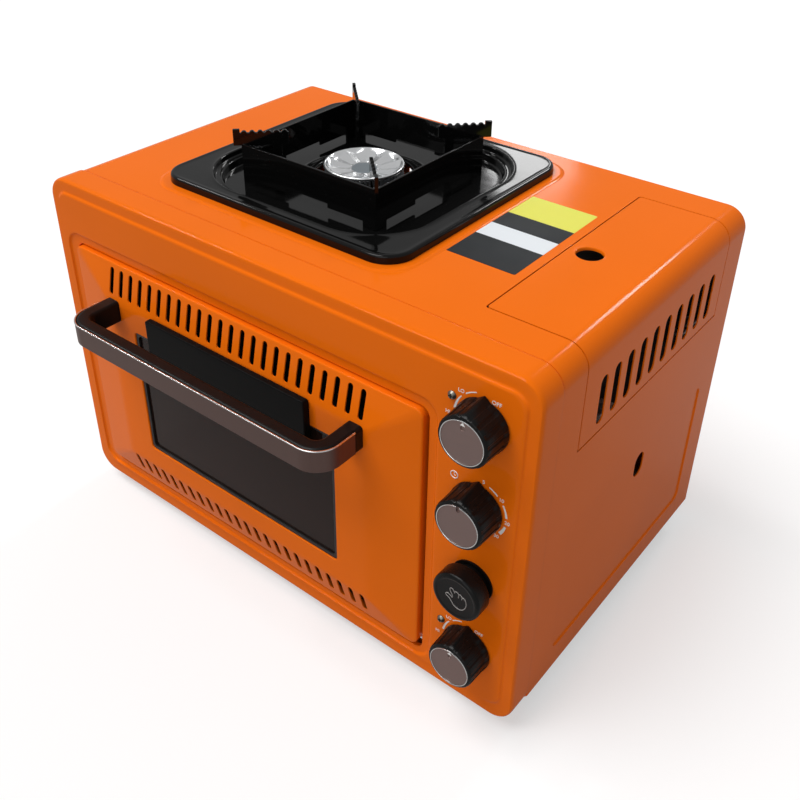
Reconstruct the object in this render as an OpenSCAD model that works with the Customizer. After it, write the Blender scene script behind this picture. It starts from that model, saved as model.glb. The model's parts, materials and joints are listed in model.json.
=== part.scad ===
// Camp oven with a one-burner hob, run from a gas cartridge.
// Every module is drawn in the cabinet's own frame: x from the left edge, y from the front
// border towards the back, z from the foot of the front bezel. place() then moves it to the
// part's frame, whose origin is at the bottom centre of the whole object.

/* [Cabinet] */
// Width of the cabinet
body_w = 511; // [500:1:520]
// Depth of the cabinet, without the door handle
body_d = 327; // [318:1:340]
// Height of the cabinet, without its feet
body_h = 330; // [328:1:336]
// Radius of the cabinet's long edges
edge_r = 20; // [16:1:24]
// Thickness of the cabinet's sheet steel
sheet = 1.2; // [1:0.1:1.4]
// Depth of the front bezel, back to its seam
bezel_d = 25.5; // [22:0.5:30]
// Rounding of the bezel's front edge
bezel_round = 5; // [3:0.5:7]
// Height of the side walls' lower edge above the bezel's foot
side_z = 8.6; // [6:0.2:12]
// Height of the rubber feet under the bezel
foot_h = 12; // [11:0.5:16]
// How far the bezel's front panel stands proud of its border
panel_rise = 2; // [1:0.5:3]

/* [Door] */
// Left edge of the door
door_x = 30; // [29:0.5:34]
// Width of the door
door_w = 391; // [385:1:392]
// Lower edge of the door
door_z = 31.5; // [31:0.5:34]
// Height of the door
door_h = 239.5; // [234:0.5:240]
// How far the door's rim stands proud of the border
door_rim = 4; // [3:0.5:5]
// How far the door's flat stands proud of the border
door_proud = 12; // [10:0.5:14]
// Width of the door's side bevels
bevel_side = 46; // [40:1:50]
// Height of the door's top bevel
bevel_top = 35; // [32:1:36]
// Height of the door's bottom bevel
bevel_bottom = 30.5; // [28:0.5:32]
// Left edge of the window
window_x = 110; // [106:1:116]
// Width of the window
window_w = 233; // [220:1:240]
// Lower edge of the window
window_z = 84; // [80:1:90]
// Height of the window
window_h = 130; // [120:1:132]
// Number of vent slots in each row of the door
slot_count = 24; // [12:1:24]
// Distance between vent slots
slot_pitch = 12.45; // [12:0.05:12.6]
// Width of a vent slot
slot_w = 5.2; // [3.5:0.1:6]

/* [Handle] */
// Left edge of the handle
handle_x = 79; // [77:0.5:82]
// Width of the handle
handle_w = 294; // [288:1:296]
// Lower edge of the handle
handle_z = 218; // [216:0.5:220]
// Height of the handle's bar
handle_h = 21; // [18:0.5:22]
// Height of the metal strip on the handle's face
handle_strip_h = 19.5; // [15:0.5:19.5]
// Thickness of the handle's bar
handle_t = 14.5; // [12:0.5:16]
// How far the handle stands out from the border
handle_reach = 60; // [54:1:62]
// Outer radius of the handle's corners
handle_r = 22; // [19:1:26]

/* [Controls] */
// Centre line of the controls
control_x = 469; // [466:0.5:470]
// Height of the stove knob's centre
stove_z = 283; // [281:0.5:284]
// Height of the timer knob's centre
timer_z = 210.5; // [208:0.5:213]
// Height of the safety button's centre
safety_z = 138; // [136:0.5:140]
// Height of the oven knob's centre
oven_z = 65.5; // [64:0.5:68]
// Diameter of the knobs at their base
knob_d = 42; // [38:0.5:43]
// Length of the knobs
knob_l = 24; // [20:0.5:26]
// Diameter of the knobs' face discs
disc_d = 35; // [31:0.5:36]
// How far the safety button stands out from the border
button_reach = 24.5; // [20:0.5:26]

/* [Cartridge bay] */
// Left seam of the lid, on the cabinet's top
lid_x = 427; // [426:0.5:429]
// Front seam of the lid
lid_y = 59; // [58:0.5:62]
// Back seam of the lid
lid_back = 293; // [290:0.5:296]
// Lower seam of the lid, on the cabinet's side
lid_z = 242; // [241:0.5:244]
// Diameter of the lid's finger hole
finger_d = 21.5; // [19:0.5:24]
// Number of vent slots in the lid
lid_slots = 10; // [6:1:10]
// Distance between the lid's vent slots
lid_pitch = 20.3; // [19:0.1:21]
// Diameter of the gas cartridge that the bay takes
cartridge_d = 69; // [66:0.5:70]

/* [Hob] */
// Centre of the hob, from the cabinet's left edge
hob_x = 215.8; // [210:0.1:217]
// Centre of the hob, from the front border
hob_y = 178.1; // [173:0.1:180]
// Width of the drip tray
tray_w = 262; // [258:1:266]
// Depth of the drip tray
tray_d = 247; // [243:1:250]
// Height of the drip tray's rim above the cabinet's top
tray_rise = 7.5; // [6:0.5:9]
// Diameter of the burner head
burner_d = 72; // [66:1:76]
// Side of the pan support's square
support_side = 150; // [144:1:154]
// Number of flutes in the burner head
flute_count = 16; // [12:1:20]

/* [Oven] */
// Width of the oven's inside
liner_w = 352; // [340:2:356]
// Height of the oven's inside
liner_h = 198; // [190:2:200]
// Depth of the oven's inside
liner_d = 268; // [250:2:272]
// Number of cross wires in the rack
rack_wires = 19; // [11:2:23]

/* [Hidden] */
$fn = 48;
eps = 0.02;

paint = [0.93, 0.42, 0.09];
gloss_black = [0.06, 0.06, 0.06];
satin_black = [0.12, 0.12, 0.12];
galvanised = [0.72, 0.73, 0.74];
satin_strip = [0.42, 0.31, 0.28];
brass = [0.78, 0.62, 0.30];
smoked = [0.10, 0.09, 0.09, 0.75];

front_y = handle_reach - (body_d + handle_reach) / 2;
top_z = body_h - sheet;
seam_lap = 8;

// The door and the opening that it closes
door_x1 = door_x + door_w;
door_z1 = door_z + door_h;
door_back = 6;
hole_x0 = door_x - 1.5;
hole_x1 = door_x1 + 2.5;
hole_z0 = door_z - 6.5;
hole_z1 = door_z1 + 1;
lip_x0 = hole_x0 - 12;
lip_x1 = hole_x1 + 8.5;
lip_z0 = 18;
lip_z1 = hole_z1 + 9.5;
lip_r = 16;
panel_x0 = 11;
panel_x1 = body_w - 10;
panel_z0 = 15;
panel_z1 = body_h - 11;
flat_x0 = door_x + bevel_side;
flat_x1 = door_x1 - bevel_side;
flat_z0 = door_z + bevel_bottom;
flat_z1 = door_z1 - bevel_top;
hinge_y = 4.5;
hinge_z = door_z + 6;
hinge_pin_d = 5;
slot_x0 = door_x + door_w / 2 - slot_pitch * (slot_count - 1) / 2;

// The window behind its opening
window_lip = 2.3;
glass_t = 4;
glass_lap = 6;
glass_y = -door_proud + sheet + 2;

// The controls behind the bezel
panel_y = -panel_rise;
knob_gap = 1;
valve_y = 16;
shaft_d = 6;
running_gap = 0.05;
neck_d = 30;
front_screw_x = 443;
front_screw_z = [295, 78];
back_screw_x = [30, 255, 481];
back_screw_z = [32, 316];

// The cartridge bay and the lid
seam_gap = 0.8;
cart_x = control_x - 2;
cart_r = cartridge_d / 2;
cart_z = 283;
bay_x = lid_x - 3;
bay_y = lid_y - 2;
bay_back = lid_back + 3;
bay_z = lid_z - 6;
lid_hinge_x = body_w - 6;
lid_hinge_z = lid_z + 5;
lid_pin_d = 3;
finger_x = lid_x + 17.7;
finger_y = (lid_y + lid_back) / 2 - 2.5;

// The hob
plateau_rise = 1.2;
plateau_margin = 7;
tray_z = top_z + plateau_rise + 0.3;
rim_z = top_z + plateau_rise + tray_rise;
basin_w = 227;
basin_d = 219;
basin_r = 62;
basin_z = 326;
ledge_w = 7;
ledge_z = basin_z + 6.5;
well_r = 60;
burner_hole_r = 44;
mixer_d = 20;
mixer_from = [398, 38, stove_z + 6];
mixer_to = [hob_x, hob_y, stove_z + 6];
strip_t = 2;
support_z0 = 331;
support_z1 = 362;
arm_top = 374;

// The oven's inside
liner_x = door_x + (door_w - liner_w) / 2;
liner_y = 12.5;
liner_z = 54;
guide_z = [liner_z + 62, liner_z + 118];
rack_z = guide_z[0] + 3.2;
rack_y = liner_y + 8;
rack_d = liner_d - 24;

// Shapes used by more than one piece

module place() {
  translate([-body_w / 2, front_y, foot_h]) children();
}

// Extrudes an x-z outline from y0 back to y1
module along_y(y0, y1) {
  translate([0, y1, 0]) rotate([90, 0, 0]) linear_extrude(y1 - y0) children();
}

// Extrudes a y-z outline from x0 to x1
module along_x(x0, x1) {
  translate([x0, 0, 0]) rotate([90, 0, 90]) linear_extrude(x1 - x0) children();
}

// Extrudes an x-y outline from z0 up to z1
module along_z(z0, z1) {
  translate([0, 0, z0]) linear_extrude(z1 - z0) children();
}

module rounded(x0, y0, x1, y1, r) {
  translate([x0 + r, y0]) square([x1 - x0 - 2 * r, y1 - y0]);
  translate([x0, y0 + r]) square([x1 - x0, y1 - y0 - 2 * r]);
  for (x = [x0 + r, x1 - r], y = [y0 + r, y1 - r]) translate([x, y]) circle(r);
}

module upright_slot(x, y0, y1, w) {
  translate([x - w / 2, y0 + w / 2]) square([w, y1 - y0 - w]);
  for (y = [y0 + w / 2, y1 - w / 2]) translate([x, y]) circle(d = w);
}

module rod(a, b, d) {
  run = b - a;
  length = norm(run);
  translate(a)
    rotate([0, acos(run[2] / length), atan2(run[1], run[0])])
      cylinder(d = d, h = length);
}

// A pipe made of straight runs, with a block elbow at each bend
module bent_pipe(points, d) {
  for (i = [0:len(points) - 2]) rod(points[i], points[i + 1], d);
  for (i = [1:1:len(points) - 2]) translate(points[i]) cube(d * 1.5, center = true);
}

// A pan-headed cross-slot screw lying along y, its head towards the front
module pan_screw(x, y, z, head_d, shank_l) {
  translate([x, y, z]) rotate([-90, 0, 0]) {
    difference() {
      union() {
        translate([0, 0, -0.6]) cylinder(d = head_d, h = 0.6);
        translate([0, 0, -2.2]) cylinder(d1 = head_d * 0.62, d2 = head_d, h = 1.6);
      }
      for (a = [0, 90]) rotate(a) translate([-head_d * 0.26, -0.5, -2.4]) cube([head_d * 0.52, 1, 1.4]);
    }
    cylinder(d = head_d * 0.5, h = shank_l);
  }
}

// Cabinet

module wrap_outline(inset, z_low) {
  r = edge_r - inset;
  translate([inset, z_low]) square([body_w - 2 * inset, body_h - inset - r - z_low]);
  translate([inset + r, z_low]) square([body_w - 2 * (inset + r), body_h - inset - z_low]);
  for (x = [inset + r, body_w - inset - r]) translate([x, body_h - inset - r]) circle(r);
}

module plateau_outline(inset) {
  tray_rounded(inset - plateau_margin, 30 - inset);
}

module cabinet_shell() {
  color(paint) place() difference() {
    union() {
      difference() {
        along_y(bezel_d - seam_lap, body_d) wrap_outline(sheet, side_z);
        along_y(bezel_d - seam_lap - 1, body_d + 1) wrap_outline(2 * sheet, side_z - 1);
      }
      along_z(top_z - sheet, top_z + plateau_rise) plateau_outline(0);
      // Return of the pressed rectangle in the right side
      along_x(body_w - 3.2 * sheet, body_w - 2 * sheet) rounded(61, 31, 298, 167, 8);
    }
    along_z(top_z - 2 * sheet, top_z + plateau_rise - sheet) plateau_outline(sheet);
    // The lap under the bezel stops above the bezel's rounded lower corners
    translate([-1, bezel_d - seam_lap - 1, 0]) cube([body_w + 2, seam_lap + 1, edge_r + 1]);
    // Hole for the drip tray's basin
    along_z(top_z - 9, top_z + 9) basin_rounded(3 - ledge_w, basin_r + 3 - ledge_w);
    // Cut-out for the cartridge lid, over the top and down the side
    translate([lid_x - seam_gap, lid_y - seam_gap, lid_z - seam_gap])
      cube([body_w, lid_back - lid_y + 2 * seam_gap, body_h]);
    // Pressed rectangle, sunk by about one sheet
    along_x(body_w - 2.1 * sheet, body_w) rounded(63, 33, 296, 165, 6);
    // Upright hole in the pressed rectangle
    along_x(body_w - 8, body_w) upright_slot(183, 136, 160, 16);
  }
}

// Rounded block whose front edge follows a quarter circle, built of nested layers
module bezel_block(inset, round_r) {
  steps = 4;
  hull() for (i = [0:steps]) {
    a = 90 * i / steps;
    side = inset + round_r * (1 - sin(a));
    front = inset + round_r * (1 - cos(a));
    along_y(front, bezel_d - steps + i)
      rounded(side, side, body_w - side, body_h - side, edge_r - side, $fn = 32);
  }
}

module panel_outline(inset) {
  rounded(panel_x0 + inset, panel_z0 + inset, panel_x1 - inset, panel_z1 - inset, 13 - inset);
}

module lip_outline(grow) {
  rounded(lip_x0 - grow, lip_z0 - grow, lip_x1 + grow, lip_z1 + grow, lip_r + grow);
}

module front_bezel() {
  color(paint) place() difference() {
    union() {
      difference() {
        bezel_block(0, bezel_round);
        bezel_block(sheet, bezel_round - sheet);
        along_y(bezel_d - seam_lap - 0.5, bezel_d + 1)
          rounded(sheet, sheet, body_w - sheet, body_h - sheet, edge_r - sheet);
      }
      along_y(-panel_rise, sheet) panel_outline(0);
    }
    along_y(sheet - panel_rise, sheet + 1) difference() {
      panel_outline(sheet);
      lip_outline(sheet);
    }
    // Shallow recess round the door, and the hole behind it
    along_y(-panel_rise - 1, 0) lip_outline(0);
    along_y(-1, sheet + 1) rounded(hole_x0, hole_z0, hole_x1, hole_z1, 8);
    // Holes for the shafts, the safety button's neck and the screws
    for (z = [stove_z, timer_z, oven_z]) along_y(-3, 3) translate([control_x, z]) circle(d = 9);
    along_y(-3, 3) translate([control_x, safety_z]) circle(d = neck_d + 1);
    for (z = front_screw_z) along_y(-3, 3) translate([front_screw_x, z]) circle(d = 3.6);
  }
}

module front_screws() {
  color(satin_black) place()
    for (z = front_screw_z) pan_screw(front_screw_x, -panel_rise, z, 6.8, 8);
}

module back_panel() {
  y = body_d - 6;
  color(paint) place() difference() {
    union() {
      along_y(y, y + sheet) wrap_outline(2 * sheet + 0.1, side_z + 2);
      // Side flanges for the screws
      for (x = [2 * sheet + 0.1, body_w - 3 * sheet - 0.1])
        translate([x, y - 12, 40]) cube([sheet, 12, 180]);
    }
    for (i = [0:21]) along_y(y - 1, y + 2) upright_slot(75 + i * 14, 262, 296, 5);
    for (i = [0:21]) along_y(y - 1, y + 2) upright_slot(75 + i * 14, 40, 74, 5);
    for (i = [0:4]) along_y(y - 1, y + 2) upright_slot(440 + i * 12, 255, 290, 5);
    for (x = back_screw_x, z = back_screw_z) along_y(y - 1, y + 2) translate([x, z]) circle(d = 3.6);
  }
}

module back_screws() {
  y = body_d - 6 + sheet;
  color(galvanised) place()
    for (x = back_screw_x, z = back_screw_z)
      translate([0, 2 * y, 0]) mirror([0, 1, 0]) pan_screw(x, y, z, 7, 7);
}

module base_pan() {
  x0 = 2 * sheet;
  x1 = body_w - 2 * sheet;
  y0 = bezel_d + 0.5;
  y1 = body_d - 6;
  color(galvanised) place() difference() {
    translate([x0, y0, side_z]) cube([x1 - x0, y1 - y0, 14]);
    translate([x0 + sheet, y0 + sheet, side_z + sheet])
      cube([x1 - x0 - 2 * sheet, y1 - y0 - 2 * sheet, 14]);
    // Air slots under the oven burner
    for (i = [0:13], y = [110, 190])
      along_z(side_z - 1, side_z + 2) upright_slot(95 + i * 20, y, y + 44, 6);
  }
}

module rubber_feet() {
  color(satin_black) place()
    for (x = [52, body_w - 52], y = [48, body_d - 44]) translate([x, y, -foot_h]) {
      cylinder(d1 = 24, d2 = 28, h = foot_h + side_z);
    }
}

// Oven

module oven_liner() {
  t = 1;
  x0 = liner_x - t;
  x1 = liner_x + liner_w + t;
  z0 = liner_z - t;
  z1 = liner_z + liner_h + t;
  y1 = liner_y + liner_d;
  color(galvanised) place() difference() {
    union() {
      translate([x0, liner_y, z0]) cube([x1 - x0, liner_d + t, z1 - z0]);
      // Flange round the mouth, behind the bezel
      translate([x0 - 9, liner_y, z0 - 9]) cube([x1 - x0 + 18, t, z1 - z0 + 18]);
      // Guide ribs pressed outwards, backed by the wall
      for (z = guide_z) translate([x0 - 3, liner_y, z]) cube([x1 - x0 + 6, liner_d - 7, 10]);
    }
    translate([liner_x, liner_y - 1, liner_z]) cube([liner_w, liner_d + 1, liner_h]);
    for (z = guide_z)
      translate([x0 - 3 + t, liner_y - 1, z + t]) cube([x1 - x0 + 6 - 2 * t, liner_d - 7, 10 - 2 * t]);
    // Slots in the floor over the burner, and flue slots high in the back
    for (i = [0:9], y = [80, 180])
      along_z(z0 - 1, z0 + 2) upright_slot(liner_x + 46 + i * 29, y, y + 50, 9);
    for (i = [0:13]) along_y(y1 - 1, y1 + 2) upright_slot(liner_x + 46 + i * 20, z1 - 34, z1 - 12, 8);
  }
}

module flame_spreader() {
  x0 = liner_x + 24;
  x1 = liner_x + liner_w - 24;
  y0 = liner_y + 36;
  y1 = liner_y + liner_d - 30;
  color(galvanised) place() {
    difference() {
      translate([x0, y0, liner_z + 10]) cube([x1 - x0, y1 - y0, 1.2]);
      for (i = [0:12], j = [0:3])
        translate([x0 + 26 + i * 21, y0 + 30 + j * 46, liner_z + 9]) cylinder(d = 9, h = 4);
    }
    for (x = [x0, x1 - 1.2], y = [y0, y1 - 16]) translate([x, y, liner_z]) cube([1.2, 16, 10.5]);
  }
}

module oven_burner_tube() {
  y = 155;
  z = 34;
  color(galvanised) place() {
    difference() {
      rod([liner_x + 24, y, z], [liner_x + liner_w + 12, y, z], 18);
      rod([liner_x + 26, y, z], [liner_x + liner_w + 13, y, z], 16);
      // Flame ports along both shoulders
      for (i = [0:20], side = [-1, 1])
        translate([liner_x + 40 + i * 14, y, z]) rotate([side * 42, 0, 0])
          cylinder(d = 2.4, h = 12, $fn = 16);
    }
    for (x = [liner_x + 34, liner_x + liner_w - 30])
      translate([x, y - 6, side_z + sheet]) cube([1.5, 12, z - 8.6 - side_z - sheet]);
  }
}

module oven_electrode() {
  color([0.92, 0.90, 0.86]) place() {
    translate([liner_x + 60, 155 + 20, side_z + sheet]) {
      cylinder(d = 7, h = 24);
      translate([0, 0, 24]) cylinder(d = 2, h = 8);
    }
  }
}

// Moving rack: a wire frame with cross wires, lying in the lower guides
module wire_rack() {
  x0 = liner_x - 0.5;
  x1 = liner_x + liner_w + 0.5;
  y0 = rack_y;
  y1 = rack_y + rack_d;
  z = rack_z;
  wires = [for (i = [1:rack_wires]) x0 + (x1 - x0) * i / (rack_wires + 1)];
  color(galvanised) place() {
    for (y = [y0, y1]) rod([x0, y, z], [x1, y, z], 4);
    for (x = [x0, x1]) rod([x, y0, z], [x, y1, z], 4);
    for (x = [x0, x1], y = [y0, y1]) translate([x, y, z]) sphere(d = 4);
    rod([x0, (y0 + y1) / 2, z], [x1, (y0 + y1) / 2, z], 4);
    for (x = wires) rod([x, y0, z + 1.4], [x, y1, z + 1.4], 2.4);
  }
}

// Door

// Solid block under the door's bevels, its face moved back by depth and drawn in by inset
module bevel_block(inset, depth) {
  hull() {
    along_y(depth - door_rim, door_back + depth)
      rounded(door_x + inset, door_z + inset, door_x1 - inset, door_z1 - inset, 7 - inset);
    along_y(depth - door_proud, depth - door_proud + eps)
      rounded(flat_x0, flat_z0, flat_x1, flat_z1, 3);
  }
}

module door_panel() {
  color(paint) place() difference() {
    union() {
      difference() {
        bevel_block(0, 0);
        bevel_block(sheet, sheet);
      }
      // Lip turned in round the window
      along_y(-door_proud, -door_proud + window_lip)
        rounded(
          window_x - sheet, window_z - sheet,
          window_x + window_w + sheet, window_z + window_h + sheet, 5
        );
    }
    along_y(-door_proud - 1, -door_proud + window_lip + 1)
      rounded(window_x, window_z, window_x + window_w, window_z + window_h, 4);
    for (i = [0:slot_count - 1]) {
      along_y(-door_proud - 1, 2) upright_slot(slot_x0 + i * slot_pitch, 242, 267, slot_w);
      along_y(-door_proud - 1, 2) upright_slot(slot_x0 + i * slot_pitch, 39.5, 61.5, slot_w);
    }
    // Holes for the hinge pins
    for (x = [door_x - 1, door_x1 - 2])
      translate([x, hinge_y, hinge_z]) rotate([0, 90, 0]) cylinder(d = hinge_pin_d, h = 3);
  }
}

module door_inner_panel() {
  x0 = door_x + sheet;
  x1 = door_x1 - sheet;
  z0 = door_z + sheet;
  z1 = door_z1 - sheet;
  y = door_back - sheet;
  color(galvanised) place() difference() {
    union() {
      along_y(y, y + sheet) rounded(x0, z0, x1, z1, 5.8);
      // Pressed dish that reaches forward to the glass retainer
      along_y(-1.5, y + sheet)
        rounded(window_x - 24, window_z - 20, window_x + window_w + 24, window_z + window_h + 20, 10);
    }
    along_y(-1.5 + sheet, y + sheet + 1)
      rounded(window_x - 22.8, window_z - 18.8, window_x + window_w + 22.8, window_z + window_h + 18.8, 8.8);
    along_y(-3, y)
      rounded(window_x - 2, window_z - 2, window_x + window_w + 2, window_z + window_h + 2, 4);
    // Clear of the hinge pins
    for (x = [x0 - 1, x1 - 11]) translate([x, hinge_y - 3.2, hinge_z - 3.2]) cube([12, 9, 6.4]);
  }
}

module window_ring(y0, y1, out, in) {
  along_y(y0, y1) difference() {
    rounded(window_x - out, window_z - out, window_x + window_w + out, window_z + window_h + out, 5);
    rounded(window_x + in, window_z + in, window_x + window_w - in, window_z + window_h - in, 4);
  }
}

module window_edge() {
  color(gloss_black) place() difference() {
    window_ring(-door_proud + sheet, glass_y, glass_lap, 3);
    // Groove for the lip round the window
    window_ring(-door_proud - 1, -door_proud + window_lip, sheet, 0);
  }
}

module window_glass() {
  grow = glass_lap;
  color(smoked) place() along_y(glass_y, glass_y + glass_t)
    rounded(window_x - grow, window_z - grow, window_x + window_w + grow, window_z + window_h + grow, 4);
}

module glass_retainer() {
  color(galvanised) place() window_ring(glass_y + glass_t, -1.5, glass_lap + 4, -4);
}

module heat_shield() {
  x0 = 137;
  x1 = 320;
  color(gloss_black) place() difference() {
    along_y(-door_proud - 7, -door_proud) rounded(x0, 190, x1, flat_z1 + 4, 2);
    // The block's upper end is relieved over the start of the bevel
    translate([x0 - 1, -door_proud, flat_z1]) rotate([13, 0, 0]) cube([x1 - x0 + 2, 8, 9]);
  }
}

// Rounded cross-section of the handle: width runs outwards from the handle's centre line
module handle_section(w, h, r) {
  rounded(-w / 2, -h / 2, w / 2, h / 2, r);
}

// Sweeps a section along the handle: two legs, two quarter bends and the bar
module handle_sweep(leg_end, shift) {
  bend = handle_r - handle_t / 2;
  x0 = handle_x + handle_t / 2;
  x1 = handle_x + handle_w - handle_t / 2;
  y = -handle_reach + handle_t / 2;
  z = handle_z + handle_h / 2;
  translate([0, 0, z]) {
    translate([x0, y + bend, 0]) rotate([-90, 0, 0]) linear_extrude(leg_end - y - bend)
      translate([-shift, 0]) children();
    translate([x1, y + bend, 0]) rotate([-90, 0, 0]) linear_extrude(leg_end - y - bend)
      mirror([1, 0]) translate([-shift, 0]) children();
    translate([x0 + bend, y + bend, 0]) rotate([0, 0, 180]) rotate_extrude(angle = 90)
      translate([bend + shift, 0]) mirror([1, 0]) children();
    translate([x1 - bend, y + bend, 0]) rotate([0, 0, 270]) rotate_extrude(angle = 90)
      translate([bend + shift, 0]) mirror([1, 0]) children();
    translate([x0 + bend, y, 0]) rotate([90, 0, 90]) linear_extrude(x1 - x0 - 2 * bend)
      translate([-shift, 0]) children();
  }
}

module handle_bar() {
  groove = 1.5;
  color(gloss_black) place() difference() {
    handle_sweep(-door_proud, 0) handle_section(handle_t, handle_h, 3);
    handle_sweep(-door_proud - 8, handle_t / 2 - groove / 2 + 0.1)
      square([groove + 0.2, handle_strip_h], center = true);
  }
}

module handle_strip() {
  strip = 1.5;
  color(satin_strip) place()
    handle_sweep(-door_proud - 8, handle_t / 2 - strip / 2) square([strip, handle_strip_h], center = true);
}

module handle_screws() {
  color(galvanised) place()
    for (x = [handle_x + handle_t / 2, handle_x + handle_w - handle_t / 2])
      translate([0, 2 * (-door_proud + sheet), 0]) mirror([0, 1, 0])
        translate([x, -door_proud + sheet, handle_z + handle_h / 2]) rotate([90, 0, 0])
          cylinder(d = 8, h = 2.4);
}

module hinge_pins() {
  color(galvanised) place()
    for (span = [[door_x - 7.5, door_x + 8], [door_x1 - 8, door_x1 + 7.5]])
      translate([span[0], hinge_y, hinge_z]) rotate([0, 90, 0])
        cylinder(d = hinge_pin_d, h = span[1] - span[0]);
}

module hinge_brackets() {
  bore = hinge_pin_d + 2 * running_gap;
  color(galvanised) place() difference() {
    union() {
      for (x = [door_x - 7, door_x1 + 4]) translate([x, sheet, hole_z0 - 4]) cube([3, 11.3, 24]);
      for (x = [door_x - 15, door_x1 + 4]) translate([x, sheet, hole_z0 - 4]) cube([11, 2, 12 - 8]);
    }
    translate([door_x - 10, hinge_y, hinge_z]) rotate([0, 90, 0]) cylinder(d = bore, h = 8);
    translate([door_x1 + 2, hinge_y, hinge_z]) rotate([0, 90, 0]) cylinder(d = bore, h = 8);
  }
}

// Controls

// Wedge at twelve o'clock: its tip stands out near the panel, and its face widens towards the disc
module knob_pointer(skirt) {
  hull() {
    translate([0, skirt + 1.6, 1]) cylinder(r = 1, h = 3, $fn = 16);
    for (side = [-1, 1]) {
      rotate(side * 13) translate([0, skirt - 1.6, 1]) cylinder(r = 0.6, h = 3, $fn = 12);
      rotate(side * 28) translate([0, skirt - 1.8, knob_l - 3]) cylinder(r = 0.6, h = 1, $fn = 12);
    }
  }
}

module knob_body() {
  skirt = knob_d / 2;
  difference() {
    union() {
      rotate_extrude() polygon([
        [shaft_d / 2, 0], [7, 0], [7, 12], [skirt - 3.4, 12], [skirt - 3.4, 0], [skirt - 0.6, 0],
        [skirt, 0.6], [skirt, 4], [skirt - 0.6, 5], [skirt - 1, knob_l - 2], [skirt - 2.6, knob_l],
        [disc_d / 2, knob_l], [disc_d / 2, knob_l - 1.5], [0, knob_l - 1.5], [0, 16],
        [shaft_d / 2, 16]
      ]);
      knob_pointer(skirt);
    }
    for (i = [2:14]) rotate(i * 22.5) translate([0, skirt + 0.9, 6]) cylinder(d = 4.4, h = knob_l, $fn = 24);
  }
}

module at_control(z) {
  place() translate([control_x, panel_y - knob_gap, z]) rotate([90, 0, 0]) children();
}

module face_disc(notched) {
  difference() {
    union() {
      translate([0, 0, knob_l - 1.5]) cylinder(d = disc_d, h = 1.7);
      translate([0, 0, knob_l]) difference() {
        cylinder(d = disc_d, h = 0.8);
        translate([0, 0, -1]) cylinder(d = disc_d - 2.4, h = 3);
      }
    }
    if (notched) translate([-1.3, disc_d / 2 - 7, knob_l - 0.6]) cube([2.6, 4.6, 2]);
    if (!notched) translate([0, disc_d / 2 - 4.5, knob_l - 0.6]) cylinder(d = 2.6, h = 2);
  }
}

// Shaft from inside the knob to inside its valve, seen from the knob's base
module control_shaft() {
  translate([0, 0, -valve_y - 10]) cylinder(d = shaft_d, h = valve_y + 10 + 15.5);
}

module stove_knob() { color(gloss_black) at_control(stove_z) knob_body(); }
module timer_knob() { color(gloss_black) at_control(timer_z) knob_body(); }
module oven_knob() { color(gloss_black) at_control(oven_z) knob_body(); }
module stove_disc() { color(satin_strip) at_control(stove_z) face_disc(false); }
module timer_disc() { color(satin_strip) at_control(timer_z) face_disc(true); }
module oven_disc() { color(satin_strip) at_control(oven_z) face_disc(false); }
module stove_shaft() { color(galvanised) at_control(stove_z) control_shaft(); }
module timer_shaft() { color(galvanised) at_control(timer_z) control_shaft(); }
module oven_shaft() { color(galvanised) at_control(oven_z) control_shaft(); }

// Blind hole in a valve for the shaft, with room to turn
module shaft_bore() {
  rotate([-90, 0, 0]) translate([0, 0, -1]) cylinder(d = shaft_d + 2 * running_gap, h = 10.5);
}

// Gas valve with its bracket, and an outlet of the given length behind it
module gas_valve(z, outlet) {
  color(brass) place() translate([control_x, valve_y, z]) difference() {
    union() {
      rotate([-90, 0, 0]) cylinder(d = 22, h = 16);
      translate([-12, 10, -14]) cube([24, 22, 28]);
      rotate([-90, 0, 0]) translate([0, 0, 31]) cylinder(d = 14, h = 1 + outlet);
      // Bracket to the bezel's back
      translate([-17, -valve_y + sheet, -15]) difference() {
        cube([34, valve_y - sheet + 14, 2]);
        translate([8, 3, -1]) cube([18, 6, 4]);
      }
    }
    shaft_bore();
  }
}

module stove_valve() { gas_valve(stove_z, 0); }
module oven_valve() { gas_valve(oven_z, 8); }

module timer_movement() {
  color(galvanised) place() translate([control_x, valve_y, timer_z]) difference() {
    union() {
      rotate([-90, 0, 0]) cylinder(d = 52, h = 24);
      // Bell beside the movement and the fixing plate in front
      rotate([-90, 0, 0]) translate([0, 0, 24]) cylinder(d = 44, h = 8);
      translate([-31, 0, -18]) cube([62, 1.5, 36]);
      for (x = [-31, 29.5]) translate([x, -valve_y + sheet, -18]) cube([1.5, valve_y - sheet + 1, 36]);
    }
    shaft_bore();
  }
}

module safety_valve() {
  color(brass) place() translate([control_x, valve_y + 8, safety_z]) difference() {
    union() {
      rotate([-90, 0, 0]) cylinder(d = 24, h = 26);
      translate([-9, 6, -20]) cube([18, 14, 40]);
      translate([-16, -valve_y - 8 + sheet, 16.5]) cube([32, valve_y + 18 - sheet, 2]);
    }
    rotate([-90, 0, 0]) translate([0, 0, -1]) cylinder(d = shaft_d + 2 * running_gap, h = 16);
  }
}

module safety_collar() {
  color(gloss_black) place() along_y(panel_y - 1.4, panel_y) translate([control_x, safety_z]) difference() {
    circle(d = neck_d + 6);
    circle(d = neck_d + 2 * running_gap + 0.5);
  }
}

module safety_button() {
  r = 20.7;
  h = button_reach;
  color(gloss_black) place() translate([control_x, 0, safety_z]) rotate([90, 0, 0]) {
    rotate_extrude() polygon([
      [0, 10], [r - 0.8, 10], [r, 10.8], [r, h - 2], [r - 0.5, h - 0.8], [r - 1.6, h - 0.1],
      [r - 3, h], [r - 4.5, h - 0.5], [0, h - 0.5]
    ]);
    translate([0, 0, -5]) cylinder(d = neck_d, h = 16);
  }
}

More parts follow.
